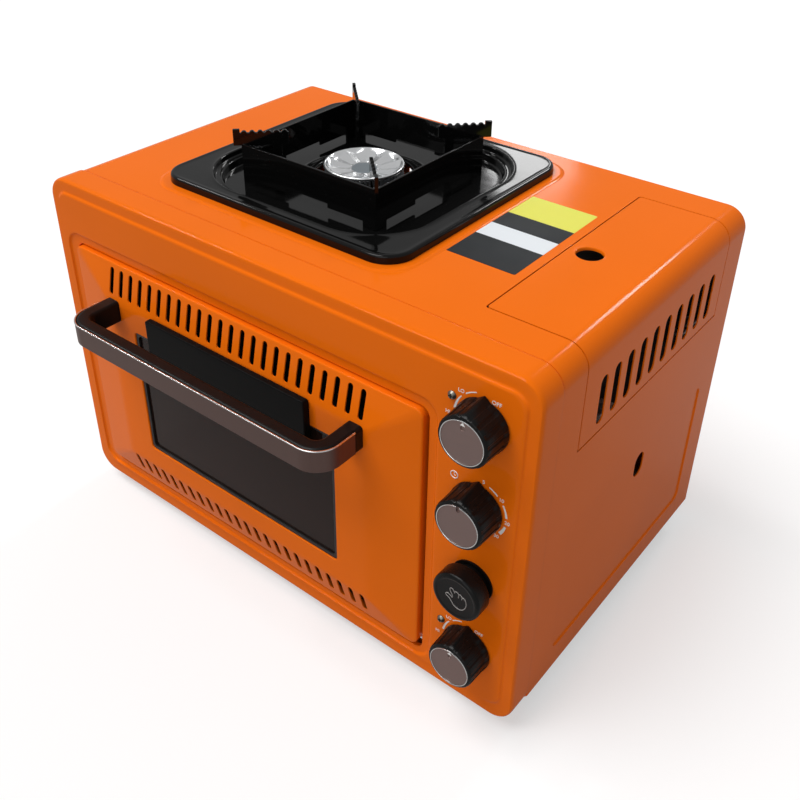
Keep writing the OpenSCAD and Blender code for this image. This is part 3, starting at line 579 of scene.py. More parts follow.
class Finish(Shading):
    """A material on object coordinates."""

    def __init__(self, name):
        self.material = bpy.data.materials.new(name)
        self.material.use_nodes = True
        super().__init__(self.material.node_tree)
        self.shader = self.tree.nodes["Principled BSDF"]

    def place(self):
        return self.node("ShaderNodeTexCoord", output="Object")

    def axis(self, name):
        return self.node("ShaderNodeSeparateXYZ", inputs={0: self.place()}, output="XYZ".index(name))

    def noise(self, scale, detail=2, stretch=(1, 1, 1), rough=0.5):
        """Noise with features about 1 / scale metres across, stretched along an axis."""
        where = self.node("ShaderNodeMapping", {}, {"Vector": self.place(), "Scale": stretch})
        inputs = {"Vector": where, "Scale": scale, "Detail": detail, "Roughness": rough}
        return self.node("ShaderNodeTexNoise", {}, inputs)

    def bump(self, height, strength, depth, under=None):
        """Normal from a height of nought to one, depth in millimetres."""
        inputs = {"Height": height, "Strength": strength, "Distance": depth * MM}
        if under:
            inputs["Normal"] = under
        return self.node("ShaderNodeBump", {}, inputs)

    def surface(self, **values):
        for key, value in values.items():
            self.feed(self.shader.inputs[key.replace("_", " ").title().replace("Ior", "IOR")], value)
        return self.material


def colours():
    return bpy.context.scene.camp_oven.colour


def gloss_paint(name):
    f = Finish(name)
    base = tuple(colours().paint)
    deep = tuple(c * 0.90 for c in base)
    cloud = f.noise(9, 3)
    peel = f.noise(620, 2)
    wave = f.noise(7, 1)
    dust = f.noise(2600, 1).over(0.70, 0.78)
    dusty = f.blend(dust * 0.06, f.blend(cloud, deep, base), (0.9, 0.55, 0.3))
    normal = f.bump(peel, 0.10, 0.05, f.bump(wave, 0.35, 0.8))
    return f.surface(
        base_color=dusty, roughness=0.09 + 0.06 * cloud, normal=normal, ior=1.15,
    )


def gloss_enamel(name):
    f = Finish(name)
    cloud = f.noise(14, 3)
    specks = f.noise(900, 2).over(0.70, 0.80)
    base = f.blend(specks * 0.5, tuple(colours().black), (0.05, 0.05, 0.05))
    normal = f.bump(f.noise(420, 2), 0.12, 0.05, f.bump(f.noise(22, 2), 0.4, 0.5))
    return f.surface(
        base_color=base, roughness=0.04 + 0.07 * cloud + 0.25 * specks, normal=normal,
        specular_ior_level=0.2,
    )


def gloss_plastic(name, roughness, grain, specular=0.16):
    f = Finish(name)
    cloud = f.noise(60, 2)
    normal = f.bump(f.noise(1800, 2), grain, 0.05)
    return f.surface(
        base_color=f.blend(cloud, tuple(colours().black), (0.006, 0.006, 0.006)),
        roughness=roughness + 0.08 * cloud, normal=normal, specular_ior_level=specular,
    )


def brushed(name, colour, roughness, metallic=1.0, shade=0.78, stretch=(1, 1, 1)):
    """Metal with fine lines along one axis."""
    f = Finish(name)
    lines = f.noise(260, 3, stretch)
    cloud = f.noise(18, 2)
    dark = tuple(c * shade for c in colour)
    return f.surface(
        base_color=f.blend(lines, dark, colour), metallic=metallic,
        roughness=roughness + 0.16 * lines + 0.06 * cloud, normal=f.bump(lines, 0.15, 0.05),
    )


def galvanised(name):
    f = Finish(name)
    spangle = f.node("ShaderNodeTexVoronoi", {"feature": "F1"}, {"Vector": f.place(), "Scale": 85}, output=1)
    grey = f.node("ShaderNodeSeparateColor", {}, {0: spangle})
    cloud = f.noise(25, 3)
    base = f.blend(grey * 0.6 + cloud * 0.4, (0.40, 0.41, 0.42), (0.66, 0.67, 0.68))
    return f.surface(
        base_color=base, metallic=1.0, roughness=0.28 + 0.22 * grey, normal=f.bump(cloud, 0.1, 0.2)
    )


def smoked_glass(name):
    f = Finish(name)
    smear = f.noise(16, 3).over(0.45, 0.75)
    return f.surface(
        base_color=tuple(colours().glass), roughness=0.03 + 0.10 * smear, transmission_weight=0.80,
        ior=1.25, normal=f.bump(f.noise(5, 1), 0.2, 0.5),
    )


def cast_alloy(name, low, high, rough, grain=0.25):
    f = Finish(name)
    grit = f.noise(700, 4)
    cloud = f.noise(30, 3)
    return f.surface(
        base_color=f.blend(cloud, low, high), metallic=0.95, roughness=rough + 0.6 * grain * grit,
        normal=f.bump(grit, grain, 0.06),
    )


def matt(name, low, high, roughness, grain=0.2, scale=500):
    f = Finish(name)
    cloud = f.noise(40, 3)
    return f.surface(
        base_color=f.blend(cloud, low, high), roughness=roughness + 0.1 * cloud,
        normal=f.bump(f.noise(scale, 3), grain, 0.1), specular_ior_level=0.4,
    )


FINISHES = {
    "cabinet_paint": gloss_paint,
    "galvanised_steel": galvanised,
    "bright_steel": lambda name: brushed(name, (0.80, 0.80, 0.80), 0.12),
    "black_enamel": gloss_enamel,
    # Near-black finish for the bay's galvanised parts: painted shade for the dark inside of the cartridge
    # bay.
    "bay_zinc": lambda name: matt(name, (0.015, 0.014, 0.013), (0.035, 0.033, 0.03), 0.5),
    "screw_zinc": lambda name: brushed(name, (0.26, 0.25, 0.22), 0.22),
    "black_screws": lambda name: brushed(name, (0.05, 0.05, 0.05), 0.3, 0.8),
    "knob_plastic": lambda name: gloss_plastic(name, 0.24, 0.06),
    "handle_plastic": lambda name: gloss_plastic(name, 0.30, 0.35),
    "satin_strip": lambda name: brushed(name, tuple(colours().strip), 0.30, 0.75, 0.86, (1, 0.2, 0.04)),
    "knob_face": lambda name: brushed(name, tuple(colours().knob_face), 0.34, 0.75, 0.90, (0.3, 1, 1)),
    "window_glass": smoked_glass,
    "shield_black": lambda name: gloss_plastic(name, 0.35, 0.10, 0.05),
    "window_edge_black": lambda name: matt(name, (0.01, 0.01, 0.01), (0.016, 0.015, 0.015), 0.35),
    "valve_brass": lambda name: brushed(name, (0.70, 0.50, 0.20), 0.25),
    "copper_pipe": lambda name: brushed(name, (0.72, 0.36, 0.20), 0.25),
    "burner_alloy": lambda name: cast_alloy(name, (0.74, 0.75, 0.76), (0.88, 0.89, 0.90), 0.20, 0.05),
    "burner_casting": lambda name: cast_alloy(name, (0.30, 0.31, 0.33), (0.45, 0.46, 0.48), 0.40),
    "electrode_ceramic": lambda name: matt(name, (0.75, 0.73, 0.68), (0.85, 0.83, 0.78), 0.25),
    "foot_rubber": lambda name: matt(name, (0.012, 0.012, 0.012), (0.025, 0.025, 0.025), 0.75),
    "white_print": lambda name: matt(name, (0.78, 0.76, 0.74), (0.88, 0.87, 0.85), 0.45),
    "grey_print": lambda name: matt(name, (0.24, 0.22, 0.21), (0.30, 0.28, 0.27), 0.4),
    "burner_centre": lambda name: cast_alloy(name, (0.20, 0.23, 0.25), (0.28, 0.31, 0.33), 0.45),
}
made_finishes = {}


def finish_of(slot):
    if slot not in made_finishes:
        made_finishes[slot] = FINISHES[slot](slot)
    return made_finishes[slot]


# Cabinet

TOP_GAP = 1.2  # the shell lies this far inside the bezel's outline
SHELL_FOOT = spot("cabinet_shell")[0].z
TOP_Z = BODY_H - TOP_GAP
TRAY_LOW, TRAY_HIGH = spot("drip_tray")
HOB = ((TRAY_LOW.x + TRAY_HIGH.x) / 2, (TRAY_LOW.y + TRAY_HIGH.y) / 2)
DOOR_LOW, DOOR_HIGH = spot("door_panel")
LID_LOW, LID_HIGH = spot("cartridge_lid")
HOLE = (DOOR_LOW.x - 1.5, DOOR_LOW.z - 6.5, DOOR_HIGH.x + 2.5, DOOR_HIGH.z + 1, 8)
LIP = (HOLE[0] - 12, 18, HOLE[2] + 8.5, HOLE[3] + 9.5, 16)
PANEL = (11, 15, BODY_W - 10, BODY_H - 11, 13)
SIDE_RECESS = (63, 33, 296, 165, 6)
SIDE_RECESS_DEPTH = 1
SIDE_HOLE = (183, 136, 160, 16)
PLATEAU_BORDER = 7
PLATEAU_SLOPE = 2.4
LID_SEAM = 0.8
LID_EASE = 0.3
LID_SLOTS, LID_PITCH = 10, 20.3
LID_SLOT_LOW, LID_SLOT_HIGH, LID_SLOT_W = 250, 292, 10.5
FINGER_HOLE_R = 10.75
BEZEL_SEAM, BEZEL_SEAM_DEPTH = 1.6, 0.8


def wrap_outline(inset, foot, r, steps=12):
    """Outline of the shell seen from the front: an arch with round shoulders."""
    left, right, top = inset, BODY_W - inset, BODY_H - inset
    r -= inset
    shoulders = arc(right - r, top - r, r, 0, steps) + arc(left + r, top - r, r, 90, steps)
    return [(left, foot), (right, foot)] + shoulders


class OVEN_OT_front_bezel(bpy.types.Operator):
    """Makes the pressed front bezel with its panel and the recess round the door"""

    bl_idname = "camp_oven.front_bezel"
    bl_label = "Front bezel"

    def execute(self, context):
        s = sizes(context.scene.camp_oven.cabinet)
        body = (0, 0, BODY_W, BODY_H, s.edge_r)
        step = PANEL_RISE * 0.6
        knots = [
            (grown(body, -1.1, -BEZEL_D), 0),
            (grown(body, 0, -BEZEL_D), 1.1),
            (grown(body, 0, 0), s.front_round),
            (grown(body, -s.front_round * 1.05, 0), 0),
            (grown(PANEL, 0, 0), s.press),
            (grown(PANEL, -step, PANEL_RISE), s.press),
            (grown(LIP, 0, PANEL_RISE), s.press * 0.8),
            (grown(LIP, -step, 0), s.press * 0.8),
            (grown(HOLE, 0, 0), s.press * 0.6),
            (grown(HOLE, 0, -4), 0),
        ]
        piece = mesh_piece("bezel_pressing", pressed(knots, facing_front, steps=10), closed=False)
        thickened(piece, s.sheet * 0.95)
        place(piece, "cabinet", "cabinet_paint", "front_bezel")
        return {"FINISHED"}


class OVEN_OT_cabinet_shell(bpy.types.Operator):
    """Makes the wrap of the cabinet with its plateau, pressed side and cut-outs"""

    bl_idname = "camp_oven.cabinet_shell"
    bl_label = "Cabinet shell"

    def execute(self, context):
        settings = context.scene.camp_oven
        s = sizes(settings.cabinet)
        low, high = spot("cabinet_shell")
        lap = low.y
        border = PLATEAU_BORDER
        plateau = (TRAY_LOW.x - border, TRAY_LOW.y - border, TRAY_HIGH.x + border, TRAY_HIGH.y + border, 30)

        def raised(drop, grow):
            z = TOP_Z - drop
            return pressed(
                [
                    (grown(plateau, grow + PLATEAU_SLOPE, z - 3), 0),
                    (grown(plateau, grow + PLATEAU_SLOPE, z - 0.01), 0),
                    (grown(plateau, grow, z + s.plateau), s.press),
                    (grown(plateau, grow - 8, z + s.plateau), 0),
                ],
                facing_up, True, True,
            )

        def sunk(grow, x0, x1):
            knots = [(grown(SIDE_RECESS, grow, x0), 0), (grown(SIDE_RECESS, grow + 1.4, x1), 0)]
            return pressed(knots, facing_right, True, True)

        def wrap(inset, drop, back, front):
            return prism(wrap_outline(inset, SHELL_FOOT - drop, s.edge_r), back, front)

        piece = mesh_piece("shell_wrap", wrap(TOP_GAP, 0, -high.y, -lap))
        joined(piece, raised(0, 0))
        right = BODY_W - TOP_GAP
        cut(piece, sunk(0, right - s.sheet, right + SIDE_RECESS_DEPTH))
        inside = mesh_piece("inside", wrap(TOP_GAP + s.sheet, 5, -high.y - 2, 1 - lap))
        joined(inside, raised(s.sheet, -s.sheet))
        cut(inside, sunk(2.4, right - 2 * s.sheet, right + SIDE_RECESS_DEPTH))
        combined(piece, inside, "DIFFERENCE")
        hob = settings.hob
        half_w, half_d = hob.basin_w / MM / 2 - 4, hob.basin_d / MM / 2 - 4
        well = rounded(HOB[0] - half_w, HOB[1] - half_d, HOB[0] + half_w, HOB[1] + half_d, 58)
        cut(
            piece,
            prism(well, TOP_Z - 9, TOP_Z + 9, facing_up),
            prism(capsule(*SIDE_HOLE, 12), right - 8, right + 2, facing_right),
        )
        notch = rounded(LID_LOW.x - LID_SEAM, LID_LOW.y - LID_SEAM, BODY_W + 20, LID_HIGH.y + LID_SEAM, 2.6)
        cut(piece, prism(notch, LID_LOW.z - 2 * LID_SEAM, BODY_H + 9, facing_up))
        groove = mesh_piece("groove", wrap(0.2, 3, -BEZEL_D - BEZEL_SEAM, -BEZEL_D))
        cut(groove, wrap(TOP_GAP + BEZEL_SEAM_DEPTH, 6, -BEZEL_D - 3, 2 - BEZEL_D))
        combined(piece, groove, "DIFFERENCE")
        lap_cut = [(-1, lap - 1), (BODY_W + 1, lap - 1), (BODY_W + 1, lap + 8), (-1, lap + 8)]
        cut(piece, prism(lap_cut, 0, s.edge_r + 1, facing_up))
        broken_edges(piece, s.edge_break)
        place(piece, "cabinet", "cabinet_paint", "cabinet_shell", angle=35)
        return {"FINISHED"}


class OVEN_OT_cartridge_lid(bpy.types.Operator):
    """Makes the curved lid of the cartridge bay with its vent slots and finger hole"""

    bl_idname = "camp_oven.cartridge_lid"
    bl_label = "Cartridge lid"

    def execute(self, context):
        s = sizes(context.scene.camp_oven.cabinet)
        steps = 16
        right, top = BODY_W - TOP_GAP, TOP_Z
        r = s.edge_r - TOP_GAP
        outer = arc(right - r, top - r, r, 90, steps, -90)
        inner = arc(right - r, top - r, r - s.sheet, 90, steps, -90)
        outline = [(LID_LOW.x, top)] + outer + [(right, LID_LOW.z), (right - s.sheet, LID_LOW.z)]
        outline += inner[::-1] + [(LID_LOW.x, top - s.sheet)]
        outline.reverse()
        piece = mesh_piece("lid_pressing", prism(outline, -LID_HIGH.y, -LID_LOW.y))
        plan = rounded(LID_LOW.x + LID_EASE, LID_LOW.y + LID_EASE, BODY_W + 20, LID_HIGH.y - LID_EASE, 2.2)
        combined(piece, mesh_piece("plan", prism(plan, LID_LOW.z - 5, BODY_H + 5, facing_up)), "INTERSECT")
        middle = (LID_LOW.y + LID_HIGH.y) / 2
        first = middle + 2.5 - (LID_SLOTS - 1) / 2 * LID_PITCH
        slot = capsule(first, LID_SLOT_LOW, LID_SLOT_HIGH, LID_SLOT_W, 8)
        through = prism(slot, right - 6, right + 2, facing_right)
        cut_row(piece, "cabinet_paint", through, LID_SLOTS, (0, LID_PITCH * MM, 0))
        finger = (LID_LOW.x + 17.7, middle - 2.5)
        cut(piece, prism(disc(*finger, FINGER_HOLE_R + 1, 64), top - 5, top + 5, facing_up))
        broken_edges(piece, s.edge_break + 0.2)
        flare = [
            (2.6, -0.1), (1.9, 0.2), (1.2, 0.25), (0.5, 0), (0.1, -0.6), (0, -1.4), (0, -2.4),
            (0.7, -2.4), (0.9, -1.4), (1.6, -1.0), (2.6, -1.0), (2.6, -0.1),
        ]
        profile = [(FINGER_HOLE_R + out, top + up) for out, up in flare]
        joined(piece, turned(finger, profile, facing_up, 64, first=False, last=False))
        place(piece, "lid", "cabinet_paint", "cartridge_lid", angle=35)
        return {"FINISHED"}


# Door

WINDOW_LOW, WINDOW_HIGH = spot("window_glass")
GLASS_LAP = 6
WINDOW = grown((WINDOW_LOW.x, WINDOW_LOW.z, WINDOW_HIGH.x, WINDOW_HIGH.z, 4 + GLASS_LAP), -GLASS_LAP, 0)[:5]
SLOT_ROWS = ((242, 267), (39.5, 61.5))


class OVEN_OT_door_panel(bpy.types.Operator):
    """Makes the door's bevelled outer panel with its two rows of vent slots"""

    bl_idname = "camp_oven.door_panel"
    bl_label = "Door panel"

    def execute(self, context):
        settings = context.scene.camp_oven
        s = sizes(settings.door)
        sheet = settings.cabinet.sheet / MM
        rim = (DOOR_LOW.x, DOOR_LOW.z, DOOR_HIGH.x, DOOR_HIGH.z, 7)
        flat = (
            DOOR_LOW.x + s.side, DOOR_LOW.z + s.bottom, DOOR_HIGH.x - s.side, DOOR_HIGH.z - s.top, 3,
        )
        knots = [
            (grown(rim, 0, -DOOR_HIGH.y), 0),
            (grown(rim, 0, s.rim), 1.6),
            (grown(flat, 0, s.proud), 4),
            (grown(WINDOW, 0, s.proud), 1.0),
            (grown(WINDOW, 0, s.proud - 2.3), 0),
        ]
        piece = mesh_piece("door_pressing", pressed(knots, facing_front), closed=False)
        thickened(piece, sheet * 0.95)
        first = (DOOR_LOW.x + DOOR_HIGH.x) / 2 - s.slot_pitch * (s.slot_count - 1) / 2
        for low, high in SLOT_ROWS:
            slot = prism(capsule(first, low, high, s.slot_w), -2, s.proud + 2)
            cut_row(piece, "cabinet_paint", slot, s.slot_count, (s.slot_pitch * MM, 0, 0))
        broken_edges(piece, 0.4)
        place(piece, "door", "cabinet_paint", "door_panel")
        return {"FINISHED"}


class OVEN_OT_door_parts(bpy.types.Operator):
    """Makes the window's edge strip and the heat shield, and finishes the door's inner side"""

    bl_idname = "camp_oven.door_parts"
    bl_label = "Door parts"

    def execute(self, context):
        eased("window_edge", 0.4)
        eased("heat_shield", 1.0, segments=3, finish="shield_black")
        eased("door_inner_panel", 0.5)
        return {"FINISHED"}


class OVEN_OT_handle(bpy.types.Operator):
    """Makes the handle's black bar and the satin strip, with a rounded bright steel edge on the strip's upper
    side only, a painted highlight where the light falls
    """

    bl_idname = "camp_oven.handle"
    bl_label = "Door handle"

    def execute(self, context):
        s = sizes(context.scene.camp_oven.handle)
        low, high = spot("handle_bar")
        face = high.y
        z = (low.z + high.z) / 2
        half = s.thick / 2
        x0, x1, y = low.x + half, high.x - half, low.y + half
        bend = s.corner - half

        def path(end):
            points = [((x0, end, z), (-1, 0)), ((x0, y + bend, z), (-1, 0))]
            steps = 14
            for centre, start, skipped in ((x0 + bend, 180, 1), (x1 - bend, 270, 0)):
                for i in range(skipped, steps + 1):
                    a = math.radians(start + 90 * i / steps)
                    way = (math.cos(a), math.sin(a))
                    points.append(((centre + bend * way[0], y + bend + bend * way[1], z), way))
            points.append(((x1, end, z), (1, 0)))
            return points

        groove = 1.3
        body = rounded(-half, -s.high / 2, half - groove, s.high / 2, 3, 5)
        bar = mesh_piece("handle_body", swept(path(face), body))
        end_block = rounded(-half, -s.high / 2, half, s.high / 2, 3, 5)
        ends = []
        for x, way in ((x0, (-1, 0)), (x1, (1, 0))):
            ends.append(swept([((x, face, z), way), ((x, face - s.strip_gap + 0.4, z), way)], end_block))
        joined(bar, *ends)
        broken_edges(bar, 0.5, 50)
        place(bar, "door", "handle_plastic", "handle_bar")
        rise = s.strip_h / 2
        inner, outer = half - groove - 0.2, half
        band = rounded(inner, -rise, outer - 0.25, rise, 0.3, 2)
        strip = mesh_piece("handle_band", swept(path(face - s.strip_gap), band))
        place(strip, "door", "satin_strip", "handle_strip")
        # Bright steel on the upper edge only: a rounded metal edge painted as a highlight where the light
        # falls, while the lower edge keeps the strip's darker colour.
        edge = rounded(inner, rise - 0.8, outer + 0.1, rise + 0.3, 0.5, 4)
        line = mesh_piece("handle_edge", swept(path(face - s.strip_gap), edge))
        place(line, "door", "bright_steel")
        return {"FINISHED"}


# Controls

CONTROL_X = (spot("stove_knob")[0].x + spot("stove_knob")[1].x) / 2
KNOB_BASE = -spot("stove_knob")[1].y
MARKS_R = 23.6  # middle of the printed arcs


def dial_z(name):
    low, high = spot(name + "_disc")
    return (low.z + high.z) / 2


def make_knob(name, s):
    """A gloss knob with grip flutes and a wedge pointer, its satin disc and bright ring."""
    centre = (CONTROL_X, dial_z(name))
    base, end = KNOB_BASE, KNOB_BASE + s.knob_l
    r = s.knob_d / 2
    face_r = s.disc_d / 2
    flutes = 16

    def radius(here, h, a):
        if here < r - 1.3:
            return here
        along = (h - base) / s.knob_l
        grip = min(max((along - 0.04) / 0.04, 0), 1) * min(max((0.97 - along) / 0.06, 0), 1)
        pitch = 2 * math.pi / flutes
        off_flute = abs((a - math.pi / 2) % pitch - pitch / 2) * r
        wave = min(max((1.9 - off_flute) / 0.5, 0), 1)
        body = here - s.flute * wave * grip
        peak = s.pointer + (r - 0.4 - s.pointer) * min(along / 0.93, 1)
        wide = math.radians(13 + 15 * along)
        off = abs((a - math.pi / 2 + math.pi) % (2 * math.pi) - math.pi)
        wedge = (peak - body) * max(0, 1 - off / wide)
        return body + wedge if along < 0.93 else body

    profile = [(r - 3, base), (r - 0.5, base), (r, base + 0.6)]
    profile += [(r, base + 4), (r - 0.5, base + 5)]
    profile += [(r - 0.5 - 0.4 * i / 8, base + 5 + (s.knob_l - 7.4) * i / 8) for i in range(1, 9)]
    profile += [(r - 1.2, end - 1.1), (r - 1.8, end - 0.35), (r - 2.6, end), (face_r + 0.1, end)]
    profile += [(face_r, end - 0.3), (face_r, end - 1.5)]
    knob = mesh_piece(name + "_grip", turned(centre, profile, facing_front, 256, radius))
    place(knob, name + "_knob", "knob_plastic", name + "_knob", angle=38)
    face = [(face_r - 0.1, end - 1.6), (face_r - 0.9, end + 0.05), (face_r - 1.4, end + 0.15)]
    face.append((0.5, end + 0.35))
    plate = mesh_piece(name + "_face", turned(centre, face, facing_front, 96))
    u, v = centre
    notch = prism(capsule(u, v + face_r - 5, v + face_r + 3, 3), end - 1, end + 3)
    if name == "timer":
        cut(plate, notch)
    else:
        cut(plate, turned((u, v + face_r - 5.9), [(1.5, end - 0.5), (1.9, end + 0.6)], facing_front, 24))
        tick = [(u - 1.9, v + face_r - 3.7), (u + 1.9, v + face_r - 3.7), (u, v + face_r - 1.1)]
        mark = mesh_piece(name + "_tick", prism(tick, end, end + 0.3))
        place(mark, name + "_knob", "knob_face", finish="white_print")
    place(plate, name + "_knob", "knob_face", name + "_disc")
    hoop = [
        (face_r - 0.85, end - 0.2), (face_r - 0.8, end + 0.5), (face_r - 0.5, end + 0.7),
        (face_r - 0.15, end + 0.6), (face_r, end + 0.1), (face_r, end - 0.6),
    ]
    shape = turned(centre, hoop + hoop[:1], facing_front, 96, first=False, last=False)
    trim = mesh_piece(name + "_ring", shape)
    if name == "timer":
        cut(trim, notch)
    place(trim, name + "_knob", "bright_steel")


class OVEN_OT_knobs(bpy.types.Operator):
    """Makes the stove, timer and oven knobs"""

    bl_idname = "camp_oven.knobs"
    bl_label = "Knobs"

    def execute(self, context):
        s = sizes(context.scene.camp_oven.control)
        for name in ("stove", "timer", "oven"):
            make_knob(name, s)
        return {"FINISHED"}


class OVEN_OT_safety_button(bpy.types.Operator):
    """Makes the flame safety button with the outline of a pressing hand"""

    bl_idname = "camp_oven.safety_button"
    bl_label = "Safety button"

    def execute(self, context):
        low, high = spot("safety_button")
        centre = (CONTROL_X, (low.z + high.z) / 2)
        r = (high.x - low.x) / 2
        top, back = -low.y, 10
        profile = [
            (14.9, -5), (14.9, back), (r - 1.2, back), (r - 0.3, back + 0.4), (r, back + 1.2),
            (r, top - 2.6), (r - 0.3, top - 1.4), (r - 1.1, top - 0.5), (r - 2.2, top - 0.05),
            (r - 3.2, top), (r - 4.2, top - 0.3), (r - 5.0, top - 0.55), (2, top - 0.6),
        ]
        cap = mesh_piece("button_cap", turned(centre, profile, facing_front, 128))
        place(cap, "safety_button", "knob_plastic", "safety_button", angle=40)
        lines = (
            ((9.4, 1.6), (9.8, -1.2), (9.0, -4.6), (7.2, -7.6), (4.8, -9.0), (2.0, -9.2), (-0.8, -8.0),
             (-3.0, -5.6), (-5.0, -3.2), (-7.4, -2.0), (-8.3, -0.8), (-7.6, 0.6), (-5.8, 0.8), (-2.4, -1.1)),
            ((-2.4, -1.1), (-2.6, 1.4), (-4.4, 4.4), (-4.8, 6.4), (-3.6, 7.8), (-2.0, 7.2), (-0.4, 4.6)),
            ((-0.8, 5.2), (0.4, 6.6), (2.2, 6.2), (3.0, 4.6), (2.8, 1.8)),
            ((2.9, 4.9), (4.0, 5.9), (5.4, 5.2), (6.0, 3.8), (5.8, 2.0)),
            ((6.0, 4.2), (7.4, 4.3), (8.8, 3.2), (9.4, 1.6)),
        )
        hand = []
        for line in lines:
            hand.append(polyline_tube([(centre[0] + u, centre[1] + v, top - 0.5) for u, v in line], 0.38))
        outline = mesh_piece("button_hand", *hand)
        place(outline, "safety_button", "black_screws", finish="grey_print")
        return {"FINISHED"}


def smooth_line(points, steps=4):
    """Catmull-Rom line through the points."""
    vectors = [Vector(p) for p in points]
    out = []
    for i in range(len(vectors) - 1):
        p0 = vectors[max(i - 1, 0)]
        p1, p2 = vectors[i], vectors[i + 1]
        p3 = vectors[min(i + 2, len(vectors) - 1)]
        for j in range(steps):
            t = j / steps
            out.append(
                0.5 * (2 * p1 + (p2 - p0) * t + (2 * p0 - 5 * p1 + 4 * p2 - p3) * t * t
                       + (3 * p1 - p0 - 3 * p2 + p3) * t ** 3)
            )
    out.append(vectors[-1])
    return out


def polyline_tube(points, r, sides=6):
    """Thin round line on the front, through (u, v, w) points."""
    line = smooth_line(points)
    rings = []
    for i, p in enumerate(line):
        way = (line[min(i + 1, len(line) - 1)] - line[max(i - 1, 0)]).normalized()
        across = Vector((-way.y, way.x, 0))
        rings.append([p + across * u + Vector((0, 0, v)) for u, v in disc(0, 0, r, sides)])
    return loft(rings, facing_front, True, True)


def printed_arc(z, r, width0, width1, a0, a1, rise):
    """Printed arc round a knob, by clock angles, its width changing from end to end."""
    steps = max(6, int(abs(a1 - a0) / 3))
    rings = []
    for i in range(steps + 1):
        t = i / steps
        a = math.radians(a0 + (a1 - a0) * t)
        half = (width0 + (width1 - width0) * t) / 2
        low, high = PANEL_RISE, PANEL_RISE + rise
        section = ((r - half, low), (r + half, low), (r + half, high), (r - half, high))
        rings.append([(CONTROL_X + q * math.sin(a), z + q * math.cos(a), w) for q, w in section])
    return loft(rings, facing_front, True, True)


def printed_word(text, x, z, size, rise):
    """Flat printed word on the bezel's panel, centred on a place."""
    curve = bpy.data.curves.new("word", "FONT")
    curve.body = text
    curve.size = size * MM
    curve.align_x, curve.align_y = "CENTER", "CENTER"
    curve.extrude = rise * MM / 2
    curve.offset = size * MM * 0.012
    word = linked("word", curve)
    graph = bpy.context.evaluated_depsgraph_get()
    mesh = bpy.data.meshes.new_from_object(word.evaluated_get(graph))
    bpy.data.objects.remove(word)
    upright = Matrix.Rotation(math.radians(90), 4, "X")
    mesh.transform(Matrix.Translation(at(x, -PANEL_RISE - rise / 2, z)) @ upright)
    return mesh


class OVEN_OT_dial_marks(bpy.types.Operator):
    """Prints the white arcs, numbers and plain words round the knobs"""

    bl_idname = "camp_oven.dial_marks"
    bl_label = "Dial marks"

    def execute(self, context):
        rise = sizes(context.scene.camp_oven.control).print_rise
        arcs = []
        words = []
        r = MARKS_R
        for name in ("stove", "oven"):
            z = dial_z(name)
            arcs.append(printed_arc(z, r, 0.7, 0.9, -17, -40, rise))
            arcs.append(printed_arc(z, r, 0.9, 1.9, -52, -84, rise))
            words += [("OFF", 8.8, 20.5, 4.4, z), ("LO", -19, 18.5, 4.0, z), ("HI", -29, -3, 4.0, z)]
        z = dial_z("timer")
        for a0, a1, w0, w1 in ((20, 40, 0.9, 1.2), (58, 84, 1.2, 1.7), (104, 126, 1.7, 2.6)):
            arcs.append(printed_arc(z, r, w0, w1, a0, a1, rise))
        for text, degrees in (("5", 8), ("10", 49), ("20", 94), ("30", 137)):
            a = math.radians(degrees)
            words.append((text, (r + 0.8) * math.sin(a), (r + 0.8) * math.cos(a), 4.2, z))
        marks = mesh_piece("dial_arcs", *arcs)
        clock_x, clock_z = CONTROL_X - 21, z + 18
        clock = disc(clock_x, clock_z, 3.0, 24)
        build = bmesh.new()
        build.from_mesh(marks.data)
        for text, x, up, size, centre in words:
            build.from_mesh(printed_word(text, CONTROL_X + x, centre + up, size, rise))
        build.to_mesh(marks.data)
        build.free()
        hoop = [(u, v, PANEL_RISE + 0.05) for u, v in clock + clock[:1]]
        hands = [(clock_x + u, clock_z + v, PANEL_RISE + 0.05) for u, v in ((0, 1.9), (0, 0.1), (1.2, -0.6))]
        icon = mesh_piece("dial_clock", polyline_tube(hoop, 0.35), polyline_tube(hands, 0.28))
        place(icon, "cabinet", "black_screws", finish="white_print")
        place(marks, "cabinet", "black_screws", finish="white_print")
        return {"FINISHED"}


# Hob


